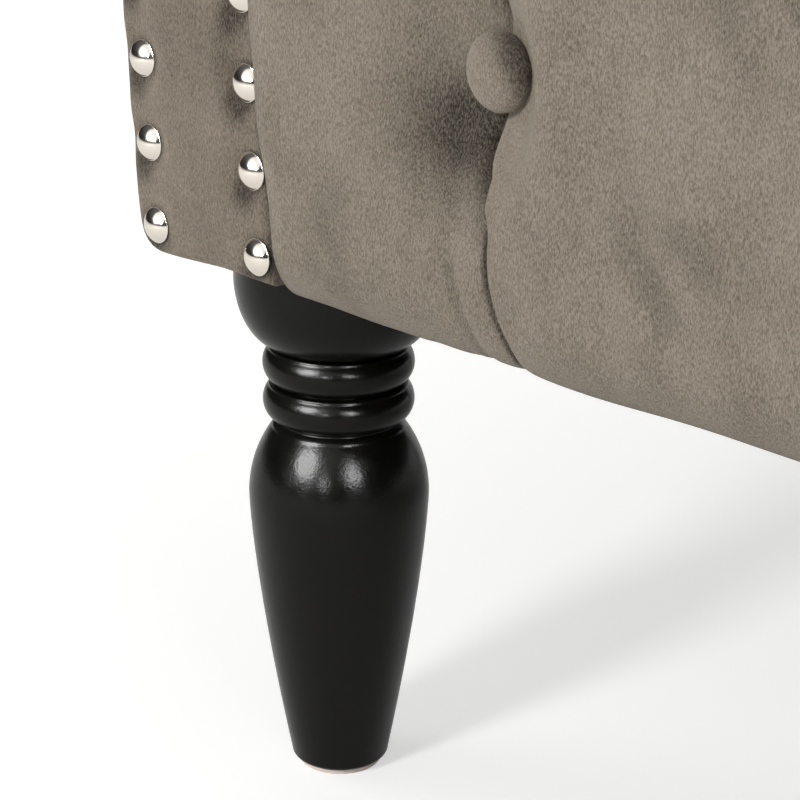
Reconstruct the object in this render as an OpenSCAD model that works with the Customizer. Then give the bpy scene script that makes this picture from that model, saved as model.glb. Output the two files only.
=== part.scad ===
/* [Overall] */
// Clear width between the two arm panels, at the base
rail_w = 1260; // [1040:4:1440]
// Depth from the nailheads in front to the back roll
sofa_d = 780; // [720:5:860]
// Height from the floor to the top of the arm and back rolls
sofa_h = 740; // [710:5:780]

/* [Legs] */
// Height from the floor to the timber frame
leg_h = 190; // [175:1:205]
// Radius of the cup at the top of a leg
cup_r = 35; // [32:0.5:37]
// Height of the cup at the top of a leg
cup_h = 33; // [28:1:38]
// Height of the rounded part of the cup
cup_round = 24; // [12:1:26]
// Radius of the two turned rings
ring_r = 25.8; // [24.5:0.1:29]
// Height of one turned ring
ring_h = 13.2; // [10:0.1:15]
// Radius in the grooves between the rings
groove_r = 20.5; // [18:0.1:24]
// Radius of the belly
belly_r = 31; // [28:0.5:34]
// Height of the widest point of the belly
belly_z = 103; // [90:1:108]
// Radius of the foot
foot_r = 17.2; // [16.5:0.1:24]
// How fast the leg narrows towards the foot: 1 is a plain cone
taper_power = 1.37; // [1:0.01:1.8]
// Radius of the glide under the foot
glide_r = 14.5; // [10:0.1:14.5]
// Height of the glide under the foot
glide_h = 2; // [1:0.5:3]
// Distance of a leg's axis from the inner edge of the arm panel
leg_in_x = 30.5; // [24:0.5:31]
// Distance of a front leg's axis behind the face of the arm panel
leg_in_y = 55; // [52:1:60]

/* [Front rail] */
// Height of the padded front rail
rail_h = 160; // [150:1:175]
// How far the face of the rail lies behind the face of the arm panel
rail_set_back = 0.5; // [0.5:0.5:6]
// Thickness of the padding in front of the rail board
rail_pad_t = 29; // [24:1:34]
// Height over which the rail's lower edge rounds under
rail_round_z = 20; // [16:1:45]
// Depth of that rounding
rail_round_y = 15; // [12:1:20]
// Number of buttons along the rail
rail_button_count = 7; // [5:1:9]
// Depth of a button's well in the rail
rail_well = 12; // [6:0.5:14]
// Depth of the pleat above and below a button
rail_pleat = 5; // [2:0.5:7]
// Height of the buttons above the underside of the rail
rail_button_up = 85; // [70:1:95]

/* [Arms and back] */
// Width of an arm panel
panel_w = 66.5; // [60:0.5:72]
// Thickness of an arm panel
panel_t = 19; // [17:0.5:19.5]
// How far the arm panel ends above the underside of the rail
panel_up = 6; // [0:0.5:10]
// Radius of the panel's lower outer corner
panel_corner_r = 10; // [8:1:20]
// Outward lean of the arms and the back
arm_lean = 4; // [2:0.1:4.5]
// Radius of the arm and back rolls
roll_r = 74; // [68:1:80]
// Thickness of the buttoned padding over the timber frame
pad_t = 34; // [28:1:40]
// Depth of a button's well in the arms and the back
arm_well = 14; // [8:1:15]
// Number of buttons in the long rows of the back
back_button_count = 7; // [5:1:9]
// Number of buttons in the long rows of an arm
arm_button_count = 4; // [3:1:5]

/* [Trim] */
// Diameter of a nailhead
nail_d = 12; // [9:0.5:12.5]
// Height of a nailhead's dome
nail_h = 3.3; // [2.5:0.1:4.5]
// Spacing of the nailheads
nail_pitch = 27; // [24:1:34]
// Distance of the nailheads from the inner edge of the panel and from its scroll
nail_edge = 6.5; // [6.5:0.1:9]
// Distance of the lowest nailhead from the outer edge of the panel
nail_edge_out = 10.5; // [6.5:0.5:14]
// Height of the lowest nailheads above the panel's lower end
nail_low_up = 8; // [7:0.5:20]
// Diameter of a covered button
button_d = 23; // [18:1:26]
// Height of a covered button's dome
button_h = 8; // [6:0.5:10]

/* [Seat] */
// Thickness of a seat cushion at its edge
cushion_t = 96; // [80:1:110]
// Extra height of the cushion's crown
cushion_crown = 14; // [6:1:20]
// How far the cushion's sides draw in between its corners
cushion_draw = 5; // [2:0.5:8]
// Radius of the cushion's corners in plan
cushion_corner_r = 34; // [20:1:45]
// Number of zigzag springs under the seat
spring_count = 9; // [7:1:11]

/* [Timber] */
// Thickness of the rail boards
board_t = 18; // [16:0.5:20]
// Thickness of the shaped arm and back posts
post_t = 25; // [22:0.5:28]
// Height of the seat boards
board_h = 140; // [125:1:145]
// Radius of the timber inside a roll
core_r = 30; // [24:1:36]
// Height of the corner blocks that hold the legs
block_h = 45; // [40:1:55]

/* [Hidden] */

// Fits and cuts
cut_over = 1;
soft_gap = 0.3;
screw_gap = 0.1;
cushion_gap = 1;
chord_gap = 2.2;

// Fabric, padding and stiffening
fabric_t = 1.5;
cover_t = 4;
roll_pad_t = 17;
panel_pad_t = 6;
panel_skin_t = 3;
burlap_t = 1.2;
deck_fabric_t = 1.5;
webbing_t = 2;
webbing_w = 50;
front_round = 42;
tuck_fillet = 16;

// Hardware
bolt_r = 4;
bolt_into_leg = 34;
nut_barrel_r = 5.2;
nut_flange_r = 9.5;
nut_flange_t = 1.6;
nut_barrel_h = 10;
wire_t = 4;
spring_turn_pitch = 30;
spring_turn_r = 15;
spring_w = 56;
clip_w = 22;
clip_t = 1.5;
clip_tail = 16;
foot_edge = 2.5;
nail_shank_r = 0.9;
nail_shank_l = 9;
button_rim = 2;
zip_w = 22;
zip_t = 1.2;
zip_inset = 60;
slider_l = 14;
slider_w = 10;
slider_t = 3.4;
arm_rail_t = 20;
arm_rail_h = 60;
cap_rail_h = 40;

// Where things lie
base_z = leg_h;
roll_z = sofa_h - roll_r;
seat_z = base_z - fabric_t + rail_h;
board_top_z = base_z + board_h;
spring_z = board_top_z + clip_t;
burlap_z = spring_z + wire_t + soft_gap;
tuck_z = burlap_z + burlap_t + soft_gap;
deck_z = seat_z - deck_fabric_t - soft_gap;
face_y = -sofa_d / 2 + nail_h;
rail_face_y = face_y + rail_set_back;
board_face_y = rail_face_y + rail_pad_t;
post_face_y = face_y + panel_t;
half_rail = rail_w / 2;
lean_rate = tan(arm_lean);
roll_u = panel_w / 2 + lean_rate * (roll_z - base_z);
back_in_y = sofa_d / 2 - roll_u - roll_r;
leg_x = half_rail + leg_in_x;
front_leg_y = face_y + leg_in_y;
back_leg_y = back_in_y + leg_in_x;
slope_z = seat_z + cushion_t + cushion_crown;
button_r = button_d / 2;
well_flat_r = button_r + button_rim;
ring_count = 2;
belly_top_z = leg_h - cup_h - ring_count * ring_h;
rail_pitch = rail_w / rail_button_count;
button_z = base_z - fabric_t + rail_button_up;
round_fn = 48;

// A smooth step from 0 to 1
function ease(t) = let (c = min(1, max(0, t))) c * c * (3 - 2 * c);

// Points on an arc about [cx, cy], from angle a0 to angle a1
function arc(cx, cy, r, a0, a1, n) =
    [for (i = [0:n]) let (a = a0 + (a1 - a0) * i / n) [cx + r * cos(a), cy + r * sin(a)]];

// Points on an elliptical arc with half axes rx and ry
function oval(cx, cy, rx, ry, a0, a1, n) =
    [for (i = [0:n]) let (a = a0 + (a1 - a0) * i / n) [cx + rx * cos(a), cy + ry * sin(a)]];

function reversed(list) = [for (i = [len(list) - 1:-1:0]) list[i]];

// Side profile shared by the arms and the back. u runs outward from the inner
// edge at the base, and z is the height above the floor.
function lean(z) = lean_rate * (z - base_z);
function inner_u(z) = lean(z)
    - (lean(roll_z) - roll_u + roll_r) * ease((z - seat_z) / (roll_z - seat_z));
function outer_u(z) = panel_w + lean(z);
function inset_at(z, body, roll) = body + (roll - body) * ease((z - seat_z) / (roll_z - seat_z));
function neck_u(inset) = outer_u(roll_z - roll_r) - inset;
function neck_drop(body, roll) = let (f = tuck_fillet + body, d = neck_u(body) + f - roll_u)
    sqrt(pow(roll_r - roll + f, 2) - d * d);
function neck_angle(body, roll) =
    atan2(-neck_drop(body, roll), neck_u(body) + tuck_fillet + body - roll_u);

// Closed outline of an arm or of the back, cut at the height bottom and drawn in
// by body on its walls and by roll on its roll
outline_steps = 12;
neck_steps = 4;
roll_steps = 20;
corner_steps = 5;
function outline(body, roll, bottom) = let (
        f = tuck_fillet + body,
        n = neck_angle(body, roll),
        c = panel_corner_r - min(body, panel_corner_r / 2)
    ) concat(
        [[inner_u(bottom) + body, bottom]],
        arc(outer_u(bottom) - body - c, bottom + c, c, -90, 0, corner_steps),
        arc(neck_u(body) + f, roll_z - neck_drop(body, roll), f, 180, n + 180, neck_steps),
        arc(roll_u, roll_z, roll_r - roll, n, 180, roll_steps),
        [for (i = [outline_steps - 1:-1:1])
            let (z = bottom + (roll_z - bottom) * i / outline_steps)
            [inner_u(z) + inset_at(z, body, roll), z]]
    );

// Places a shape drawn as [u, z] and extruded forward, for the arm on one side
module to_side(side) {
    if (side > 0) children();
    else mirror([1, 0, 0]) children();
}
module on_arm(side, y_back) {
    to_side(side) translate([half_rail, y_back, 0]) rotate([90, 0, 0]) children();
}

// The same for the back, extruded along X to the right
module on_back(x_left) {
    translate([x_left, back_in_y, 0])
        rotate([90, 0, 90]) children();
}

// Padding drawn as a quilt: a grid of outer points over rows of inner points
function flat_list(lists) = [for (a = lists) for (b = a) b];
module quilt(outer, inner, flip = false) {
    rows = len(outer);
    cols = len(outer[0]);
    base = rows * cols;
    half = floor(cols / 2);
    skin = [for (k = [0:rows - 2]) for (c = [0:cols - 2]) let (a = k * cols + c)
        each [[a, a + 1, a + cols + 1], [a, a + cols + 1, a + cols]]];
    lining = [for (k = [0:rows - 2]) let (a = base + 2 * k)
        each [[a, a + 3, a + 1], [a, a + 2, a + 3]]];
    start_cap = [for (k = [0:rows - 2]) let (a = k * cols, b = base + 2 * k)
        each [[a, a + cols, b + 2], [a, b + 2, b]]];
    end_cap = [for (k = [0:rows - 2]) let (a = (k + 1) * cols - 1, b = base + 2 * k + 1)
        each [[a, b + 2, a + cols], [a, b, b + 2]]];
    function edge(first, b, way) = [for (c = [0:cols - 2])
        let (corner = c < half ? b : b + 1)
        way ? [first + c, corner, first + c + 1] : [first + c, first + c + 1, corner]];
    low_edge = concat(edge(0, base, true), [[base, base + 1, half]]);
    last = base + 2 * (rows - 1);
    top_edge = concat(
        edge((rows - 1) * cols, last, false),
        [[last, (rows - 1) * cols + half, last + 1]]
    );
    faces = concat(skin, lining, start_cap, end_cap, low_edge, top_edge);
    polyhedron(
        concat(flat_list(outer), flat_list(inner)),
        flip ? [for (f = faces) reversed(f)] : faces
    );
}

// Buttoned face of an arm or of the back. v climbs the face, then runs over the roll.
button_rows = 3;
button_row_pitch = 86;
button_row_up = 60;
roll_end_angle = neck_angle(0, 0);
roll_end_v = roll_z + roll_r * (180 - roll_end_angle) * PI / 180;
after_steps = 7;
function button_v(row) = slope_z + button_row_up + button_row_pitch * row;
last_button_v = button_v(button_rows - 1);
after_button_v = last_button_v + well_flat_r;
row_places = concat(
    [tuck_z, (tuck_z + slope_z) / 2, slope_z, button_v(0) - well_flat_r],
    [for (row = [0:button_rows - 2]) each [
        button_v(row),
        button_v(row) + well_flat_r,
        button_v(row) + button_row_pitch / 2,
        button_v(row) + button_row_pitch - well_flat_r
    ]],
    [last_button_v],
    [for (i = [0:after_steps]) after_button_v + (roll_end_v - after_button_v) * i / after_steps]
);
function roll_angle(v) = 180 - (v - roll_z) / roll_r * 180 / PI;
function on_roll(v, r) = [roll_u + r * cos(roll_angle(v)), roll_z + r * sin(roll_angle(v))];

// The padding's face at its fullest, down the wall
function face_u(z) = -pad_t + (pad_t + roll_u - roll_r) * ease((z - slope_z) / (roll_z - slope_z));

// A point of the quilt's face in [u, z]: front is 0 where the padding starts behind a
// panel and 1 where it is full, and well is how deep the surface is drawn in there
function face_point(v, front, well) = v <= roll_z
    ? let (tight = inner_u(v) + inset_at(v, fabric_t, 0))
        [tight + (face_u(v) + well - tight) * front, v]
    : on_roll(v, roll_r - well);
function lining_point(v) = v <= roll_z
    ? [inner_u(v) + inset_at(v, cover_t, roll_pad_t), v]
    : on_roll(v, roll_r - roll_pad_t);

// Depth of a well as a share of its full depth: flat under the button, then rising
function well_form(d, spread) = 1 - ease((d - well_flat_r) / (spread - well_flat_r));

// Depth of the wells at v up the rows and at w along a row of count buttons
well_spread_share = 0.36;
function row_shift(row) = row % 2 == 0 ? 0.5 : 0;
function near_button(w, row, count, length) = let (
        pitch = length / count,
        shift = row_shift(row),
        i = round(w / pitch - shift) + shift
    ) i > 0 && i < count ? i * pitch : -length;
function well_at(v, w, count, length) = max([for (row = [0:button_rows - 1])
    let (dv = v - button_v(row), dw = w - near_button(w, row, count, length))
    arm_well * well_form(norm([dv, dw]), well_spread_share * length / count)]);

// Shares of half a button pitch at which a quilt has its columns
column_shares = [0, 0.16, 0.84];
function columns(count) = concat(
    [for (i = [0:2 * count - 1]) for (s = column_shares) (i + s) / (2 * count)], [1]);

// Turned leg, from the glide up to the cup
taper_steps = 14;
turn_steps = 8;
shoulder_h = belly_top_z - belly_z;
shoulder_in = belly_r - groove_r;
shoulder_r = (shoulder_h * shoulder_h + shoulder_in * shoulder_in) / (2 * shoulder_in);
function taper_r(z) = belly_r
    - (belly_r - foot_r) * pow((belly_z - z) / (belly_z - glide_h - foot_edge), taper_power);
leg_profile = concat(
    [[0, glide_h]],
    arc(foot_r - foot_edge, glide_h + foot_edge, foot_edge, -90, 0, turn_steps),
    [for (i = [1:taper_steps - 1])
        let (z = glide_h + foot_edge + (belly_z - glide_h - foot_edge) * i / taper_steps)
        [taper_r(z), z]],
    [for (i = [0:turn_steps - 1]) let (h = shoulder_h * i / turn_steps)
        [belly_r - shoulder_r + sqrt(shoulder_r * shoulder_r - h * h), belly_z + h]],
    [for (n = [0:ring_count - 1])
        let (z = belly_top_z + ring_h * (n + 0.5))
        each oval(groove_r, z, ring_r - groove_r, ring_h / 2, -90, 80, turn_steps)],
    oval(groove_r, leg_h - cup_h + cup_round, cup_r - groove_r, cup_round, -90, 0, turn_steps),
    [[cup_r, leg_h], [0, leg_h]]
);
module leg(x, y) {
    translate([x, y, 0]) difference() {
        rotate_extrude($fn = round_fn) polygon(leg_profile);
        translate([0, 0, leg_h - bolt_into_leg - screw_gap])
            cylinder(r = bolt_r + screw_gap, h = bolt_into_leg + cut_over, $fn = round_fn);
    }
}
module front_leg(side) { color("#2a2a27") leg(side * leg_x, front_leg_y); }
module back_leg(side) { color("#2a2a27") leg(side * leg_x, back_leg_y); }

// Repeats a part at each of the four legs
module at_legs() {
    for (x = [-leg_x, leg_x]) for (y = [front_leg_y, back_leg_y]) translate([x, y, 0]) children();
}
module leg_glides() {
    color("#e6d2c6") at_legs() cylinder(r = glide_r, h = glide_h, $fn = round_fn);
}
module leg_bolts() {
    color("silver") at_legs() translate([0, 0, leg_h - bolt_into_leg])
        cylinder(r = bolt_r, h = bolt_into_leg + block_h, $fn = round_fn);
}
module leg_nuts() {
    color("silver") at_legs() translate([0, 0, base_z + block_h - nut_barrel_h]) difference() {
        union() {
            cylinder(r = nut_barrel_r, h = nut_barrel_h + nut_flange_t, $fn = round_fn);
            translate([0, 0, nut_barrel_h])
                cylinder(r = nut_flange_r, h = nut_flange_t, $fn = round_fn);
        }
        translate([0, 0, -cut_over])
            cylinder(r = bolt_r + screw_gap, h = nut_barrel_h + nut_flange_t + 2 * cut_over,
                $fn = round_fn);
    }
}

// Timber frame
block_w = panel_w - fabric_t - arm_rail_t - panel_pad_t - 3 * soft_gap;
block_l = 58;
front_block_y = post_face_y + post_t + soft_gap;
module block(x, y, length_y, bolt_y) {
    difference() {
        translate([x, y, base_z]) cube([block_w, length_y, block_h]);
        translate([leg_x, bolt_y, base_z - cut_over])
            cylinder(r = bolt_r + screw_gap, h = block_h + 2 * cut_over, $fn = round_fn);
        translate([leg_x, bolt_y, base_z + block_h - nut_barrel_h - screw_gap])
            cylinder(r = nut_barrel_r + screw_gap, h = nut_barrel_h + cut_over, $fn = round_fn);
    }
}
module corner_blocks() {
    x = half_rail + panel_pad_t + soft_gap;
    color("burlywood") for (side = [-1, 1]) to_side(side) {
        block(x, front_block_y, block_l, front_leg_y);
        block(x, back_in_y + panel_pad_t + soft_gap, block_w, back_leg_y);
    }
}
module seat_front_board() {
    reach = half_rail + panel_pad_t;
    color("burlywood") translate([-reach, board_face_y, base_z]) cube([2 * reach, board_t, board_h]);
}
module seat_back_board() {
    color("burlywood") translate([-half_rail, back_in_y - board_t, base_z])
        cube([rail_w, board_t, board_h]);
}
seat_board_y = board_face_y + board_t;
seat_board_l = back_in_y - board_t - seat_board_y;
module seat_side_board(side) {
    color("burlywood") to_side(side) translate([half_rail - board_t, seat_board_y, base_z])
        cube([board_t, seat_board_l, spring_z + wire_t - base_z]);
}
module seat_centre_board() {
    color("burlywood") translate([-board_t / 2, seat_board_y, base_z])
        cube([board_t, seat_board_l, arm_rail_h]);
}
module post_shape() {
    polygon(outline(panel_pad_t, roll_pad_t + chord_gap, base_z));
}
module arm_front_post(side) {
    color("burlywood") on_arm(side, post_face_y + post_t) linear_extrude(post_t) post_shape();
}
module arm_back_post(side) {
    color("burlywood") on_arm(side, back_in_y) linear_extrude(post_t) post_shape();
}
module back_posts() {
    color("burlywood") for (x = [-half_rail, half_rail - post_t])
        on_back(x) linear_extrude(post_t) difference() {
            post_shape();
            translate([rail_u - soft_gap, base_z - cut_over])
                square([panel_w, arm_rail_h + cut_over + soft_gap]);
        }
}
rail_u = panel_w - fabric_t - soft_gap - arm_rail_t;
arm_rail_y = post_face_y + post_t;
module arm_bottom_rail(side) {
    color("burlywood") to_side(side) translate([half_rail + rail_u, arm_rail_y, base_z])
        cube([arm_rail_t, back_in_y - post_t - arm_rail_y, arm_rail_h]);
    color("burlywood") to_side(side) translate([half_rail + rail_u, back_in_y, base_z])
        cube([arm_rail_t, rail_u + arm_rail_t, arm_rail_h]);
    color("burlywood") on_arm(side, back_in_y - post_t)
        linear_extrude(back_in_y - post_t - arm_rail_y) tack_shape();
}
module arm_top_rail(side) {
    color("burlywood") on_arm(side, back_in_y - post_t) translate([roll_u, roll_z, 0])
        cylinder(r = core_r, h = back_in_y - post_t - arm_rail_y, $fn = round_fn);
}
module back_bottom_rail() {
    reach = half_rail + rail_u - soft_gap;
    color("burlywood") translate([-reach, back_in_y + rail_u, base_z])
        cube([2 * reach, arm_rail_t, arm_rail_h]);
    color("burlywood") on_back(-back_reach) linear_extrude(2 * back_reach) tack_shape();
}
module back_top_rail() {
    reach = half_rail - post_t;
    color("burlywood") on_back(-reach) translate([roll_u, roll_z, 0])
        cylinder(r = core_r, h = 2 * reach, $fn = round_fn);
}

// Seat suspension: zigzag springs from the front board to the back board
spring_y = board_face_y + board_t / 2;
spring_l = back_in_y - board_t / 2 - spring_y;
spring_bars = round(spring_l / spring_turn_pitch);
bar_pitch = spring_l / spring_bars;
module spring_turn(side) {
    translate([side * (spring_w / 2 - spring_turn_r), bar_pitch / 2]) difference() {
        circle(r = (bar_pitch + wire_t) / 2, $fn = round_fn);
        circle(r = (bar_pitch - wire_t) / 2, $fn = round_fn);
        translate([-side * spring_turn_pitch, 0]) square(2 * spring_turn_pitch, center = true);
    }
}
module spring_strand() {
    reach = spring_w / 2 - spring_turn_r;
    linear_extrude(wire_t) {
        for (i = [0:spring_bars]) translate([-reach, i * bar_pitch - wire_t / 2])
            square([2 * reach, wire_t]);
        for (i = [0:spring_bars - 1]) translate([0, i * bar_pitch]) spring_turn(i % 2 == 0 ? 1 : -1);
    }
}
function spring_x(i) = rail_w * ((i + 0.5) / spring_count - 0.5);
module seat_springs() {
    color("dimgray") for (i = [0:spring_count - 1])
        translate([spring_x(i), spring_y, spring_z]) spring_strand();
}
module spring_clips() {
    color("silver") for (i = [0:spring_count - 1]) for (y = [spring_y, spring_y + spring_l])
        translate([spring_x(i) - clip_w / 2, y - clip_tail / 2, board_top_z])
            cube([clip_w, clip_tail, clip_t]);
}
module seat_burlap() {
    reach = half_rail - cover_t;
    color("tan") translate([-reach, board_face_y, burlap_z])
        cube([2 * reach, back_in_y - board_face_y, burlap_t]);
}
deck_y = board_face_y + board_t + soft_gap;
deck_back_y = back_in_y - pad_t - soft_gap;
deck_reach = half_rail - pad_t - soft_gap;
module deck_sheet(z, t) {
    translate([-deck_reach, deck_y, z]) cube([2 * deck_reach, deck_back_y - deck_y, t]);
}
module seat_deck_pad() { color("ivory") deck_sheet(tuck_z, deck_z - tuck_z); }
module seat_deck_cover() { color("#2b2b2b") deck_sheet(deck_z + soft_gap, deck_fabric_t); }

// Webbing stretched behind the padding, from a tack rail up to the timber in the roll
tack_u = panel_pad_t + arm_rail_t;
tack_z = tuck_z + arm_rail_t;
function strap_u(z) = tack_u - webbing_t
    + (roll_u - core_r - tack_u) * (z - tack_z) / (roll_z - tack_z);
module tack_shape() {
    translate([max(strap_u(tack_z), strap_u(tack_z + cap_rail_h)) + webbing_t + soft_gap, tack_z])
        square([board_t, cap_rail_h]);
}
module strap_shape(grow) {
    polygon([
        [strap_u(tack_z) - grow, tack_z - grow], [strap_u(tack_z) + webbing_t + grow, tack_z - grow],
        [strap_u(roll_z) + webbing_t + grow, roll_z], [strap_u(roll_z) - grow, roll_z]
    ]);
}
module straps(length, count) {
    for (i = [0:count - 1]) translate([0, 0, length * (i + 0.5) / count - webbing_w / 2])
        linear_extrude(webbing_w) strap_shape(0);
}
arm_inside_l = back_in_y - post_t - arm_rail_y;
back_reach = half_rail - post_t;
back_strap_count = 7;
arm_strap_count = 4;
module back_webbing() {
    color("#8a7a5a") on_back(-back_reach) straps(2 * back_reach, back_strap_count);
}
module arm_webbing() {
    color("#8a7a5a") for (side = [-1, 1])
        on_arm(side, back_in_y - post_t) straps(arm_inside_l, arm_strap_count);
}

// Foam under the quilted covers, drawn through the same rows as their linings
foam_r = roll_r - roll_pad_t - soft_gap;
wall_places = [for (v = row_places) if (v < roll_z) v];
over_places = [for (v = row_places) if (v >= roll_z) v];
module foam_shape() {
    difference() {
        union() {
            polygon(concat(
                [for (v = wall_places) [lining_point(v)[0] + soft_gap, max(v, tuck_z + soft_gap)]],
                [on_roll(over_places[0], foam_r)],
                [[strap_u(roll_z) - soft_gap, roll_z], [strap_u(tuck_z) - soft_gap, tuck_z + soft_gap]]
            ));
            polygon(concat(
                [for (v = over_places) on_roll(v, foam_r)],
                arc(roll_u, roll_z, foam_r, roll_end_angle, -180, turn_steps)
            ));
        }
        translate([roll_u, roll_z]) circle(r = core_r + soft_gap, $fn = round_fn);
        strap_shape(soft_gap);
    }
}
module back_foam() {
    color("khaki") on_back(-back_reach) linear_extrude(2 * back_reach) foam_shape();
}
module arm_foam(side) {
    color("khaki") on_arm(side, back_in_y - post_t) linear_extrude(arm_inside_l) foam_shape();
}

// Quilted cover of the back: every column runs on to the mitre with the arms
back_columns = columns(back_button_count);
function back_x(u, t) = (2 * t - 1) * (half_rail + u - soft_gap);
function back_at(p, t) = [back_x(p[0], t), back_in_y + p[0], p[1]];
back_outer = [for (v = row_places) [for (t = back_columns)
    back_at(face_point(v, 1, well_at(v, t * rail_w, back_button_count, rail_w)), t)]];
back_inner = [for (v = row_places) let (p = lining_point(v)) [back_at(p, 0), back_at(p, 1)]];
module back_cover() { color("#8b8173") quilt(back_outer, back_inner, true); }

// Quilted cover of an arm: it starts tight behind the panel and fills out
arm_columns = columns(arm_button_count);
arm_cover_y = post_face_y + soft_gap;
arm_cover_l = back_in_y - arm_cover_y;
function arm_y(u, t) = arm_cover_y + t * (arm_cover_l + u - soft_gap);
function arm_at(p, t) = [half_rail + p[0], arm_y(p[0], t), p[1]];
function arm_front(t) = let (c = max(0, 1 - t * arm_cover_l / front_round)) sqrt(1 - c * c);
arm_outer = [for (v = row_places) [for (t = arm_columns)
    arm_at(face_point(v, arm_front(t), well_at(v, t * arm_cover_l, arm_button_count, arm_cover_l)), t)]];
arm_inner = [for (v = row_places) let (p = lining_point(v)) [arm_at(p, 0), arm_at(p, 1)]];
module arm_cover(side) { color("#8b8173") to_side(side) quilt(arm_outer, arm_inner, false); }

// Quilted cover of the front rail, from its underside up and over its top
round_rows = 4;
rail_face_rows = 3;
top_round_r = 18;
cushion_set_back = 4;
rail_under_y = rail_face_y + rail_round_y;
rail_low_z = base_z - fabric_t;
panel_low_z = rail_low_z + panel_up;
rail_round_top_z = rail_low_z + rail_round_z;
rail_shoulder_z = seat_z - top_round_r;
function rail_face_z(i) = i < rail_face_rows
    ? rail_round_top_z + (button_z - rail_round_top_z) * i / rail_face_rows
    : button_z + (rail_shoulder_z - button_z) * (i - rail_face_rows) / rail_face_rows;
rail_rows = concat(
    [[board_face_y, rail_low_z]],
    oval(rail_under_y, rail_round_top_z, rail_round_y, rail_round_z, 270, 180, round_rows),
    [for (i = [1:2 * rail_face_rows - 1]) [rail_face_y, rail_face_z(i)]],
    arc(rail_face_y + top_round_r, rail_shoulder_z, top_round_r, 180, 90, round_rows),
    [[board_face_y + board_t, seat_z]]
);
pleat_share = 0.06;
rail_well_share = 0.42;
function rail_sink(x, z) = let (
        near = (floor(x / rail_pitch) + 0.5) * rail_pitch,
        dx = abs(x - near),
        well = rail_well * well_form(norm([dx, z - button_z]), rail_well_share * rail_pitch),
        pleat = rail_pleat * (1 - ease(dx / (pleat_share * rail_pitch)))
    ) max(well, pleat);
rail_column_shares = [0, 0.2, 0.34, 0.42, 0.46, 0.5, 0.54, 0.58, 0.66, 0.8];
rail_columns = concat(
    [for (i = [0:rail_button_count - 1]) for (s = rail_column_shares) (i + s) / rail_button_count], [1]);
function on_face(p) = p[1] > rail_low_z && p[1] < seat_z ? 1 : 0;

// Half length of the rail's cover at [y, z]: its top stops short of the arms' padding,
// and only the stretch beyond the last buttons is drawn in for that
hold_share = 1 - 1 / rail_button_count;
function rail_reach(p) = p[1] > tuck_z - soft_gap && p[0] > rail_face_y + top_round_r / 2
    ? deck_reach
    : half_rail + lean(max(base_z, p[1])) - soft_gap;
function rail_x(p, t) = let (
        full = half_rail + lean(max(base_z, p[1])) - soft_gap,
        way = 2 * t - 1,
        out = max(0, abs(way) - hold_share) / (1 - hold_share)
    ) sign(way) * (min(abs(way), hold_share) * full + out * (rail_reach(p) - hold_share * full));
function rail_at(p, t, sink) = [rail_x(p, t), p[0] + sink, p[1]];
rail_outer = [for (p = rail_rows) [for (t = rail_columns)
    rail_at(p, t, on_face(p) * rail_sink(t * rail_w, p[1]))]];
rail_lining_rows = len(rail_rows);
rail_lining_turn = rail_lining_rows - round_rows;
function rail_lining(k) = k <= rail_lining_turn
    ? [board_face_y - soft_gap, rail_low_z + soft_gap
        + (tuck_z - rail_low_z - soft_gap) * k / rail_lining_turn]
    : [board_face_y - soft_gap
        + (board_t + soft_gap) * (k - rail_lining_turn) / (rail_lining_rows - 1 - rail_lining_turn), tuck_z];
rail_inner = [for (k = [0:rail_lining_rows - 1]) let (p = rail_lining(k))
    [rail_at(p, 0, 0), rail_at(p, 1, 0)]];
module rail_cover() { color("#8b8173") quilt(rail_outer, rail_inner, true); }

// Nailheads: up the inner edge of a panel, round the scroll and down the outer edge
nail_low_z = panel_low_z + nail_low_up;
nail_scroll_r = roll_r - nail_edge;
nail_fillet = tuck_fillet + nail_edge;
nail_turn = neck_angle(nail_edge, nail_edge);
nail_path = concat(
    [for (i = [0:outline_steps - 1]) let (z = nail_low_z + (roll_z - nail_low_z) * i / outline_steps)
        [inner_u(z) + nail_edge, z]],
    arc(roll_u, roll_z, nail_scroll_r, 180, nail_turn, roll_steps),
    arc(neck_u(nail_edge) + nail_fillet, roll_z - neck_drop(nail_edge, nail_edge), nail_fillet,
        nail_turn + 180, 180, neck_steps),
    [[outer_u(nail_low_z) - nail_edge_out, nail_low_z]]
);
function run_lengths(path, i = 0, sums = [0]) = i == len(path) - 1 ? sums
    : run_lengths(path, i + 1, concat(sums, [sums[i] + norm(path[i + 1] - path[i])]));
nail_run = run_lengths(nail_path);
nail_run_l = nail_run[len(nail_run) - 1];
nail_gaps = round(nail_run_l / nail_pitch);
function along(path, sums, d) = [for (i = [0:len(path) - 2])
    if (sums[i] <= d && d <= sums[i + 1])
        path[i] + (path[i + 1] - path[i]) * (d - sums[i]) / (sums[i + 1] - sums[i])][0];
nail_places = [for (i = [0:nail_gaps])
    along(nail_path, nail_run, min(nail_run_l, nail_run_l * i / nail_gaps))];
module at_nails(side) {
    on_arm(side, face_y) for (p = nail_places) translate([p[0], p[1], 0]) children();
}
module nail() {
    r = nail_d / 2;
    ball = (r * r + nail_h * nail_h) / (2 * nail_h);
    spread = asin(r / ball);
    rotate_extrude($fn = round_fn) polygon(concat(
        [[0, screw_gap]],
        [[r, screw_gap]],
        arc(0, nail_h - ball, ball, 90 - spread * (1 - screw_gap / nail_h), 90, turn_steps)
    ));
    translate([0, 0, -nail_shank_l])
        cylinder(r = nail_shank_r, h = nail_shank_l + nail_h / 2, $fn = round_fn);
}
module nail_hole() {
    translate([0, 0, -nail_shank_l - cut_over])
        cylinder(r = nail_shank_r + screw_gap, h = nail_shank_l + 2 * cut_over, $fn = round_fn);
}
module nailheads(side) { color("gainsboro") at_nails(side) nail(); }

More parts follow.
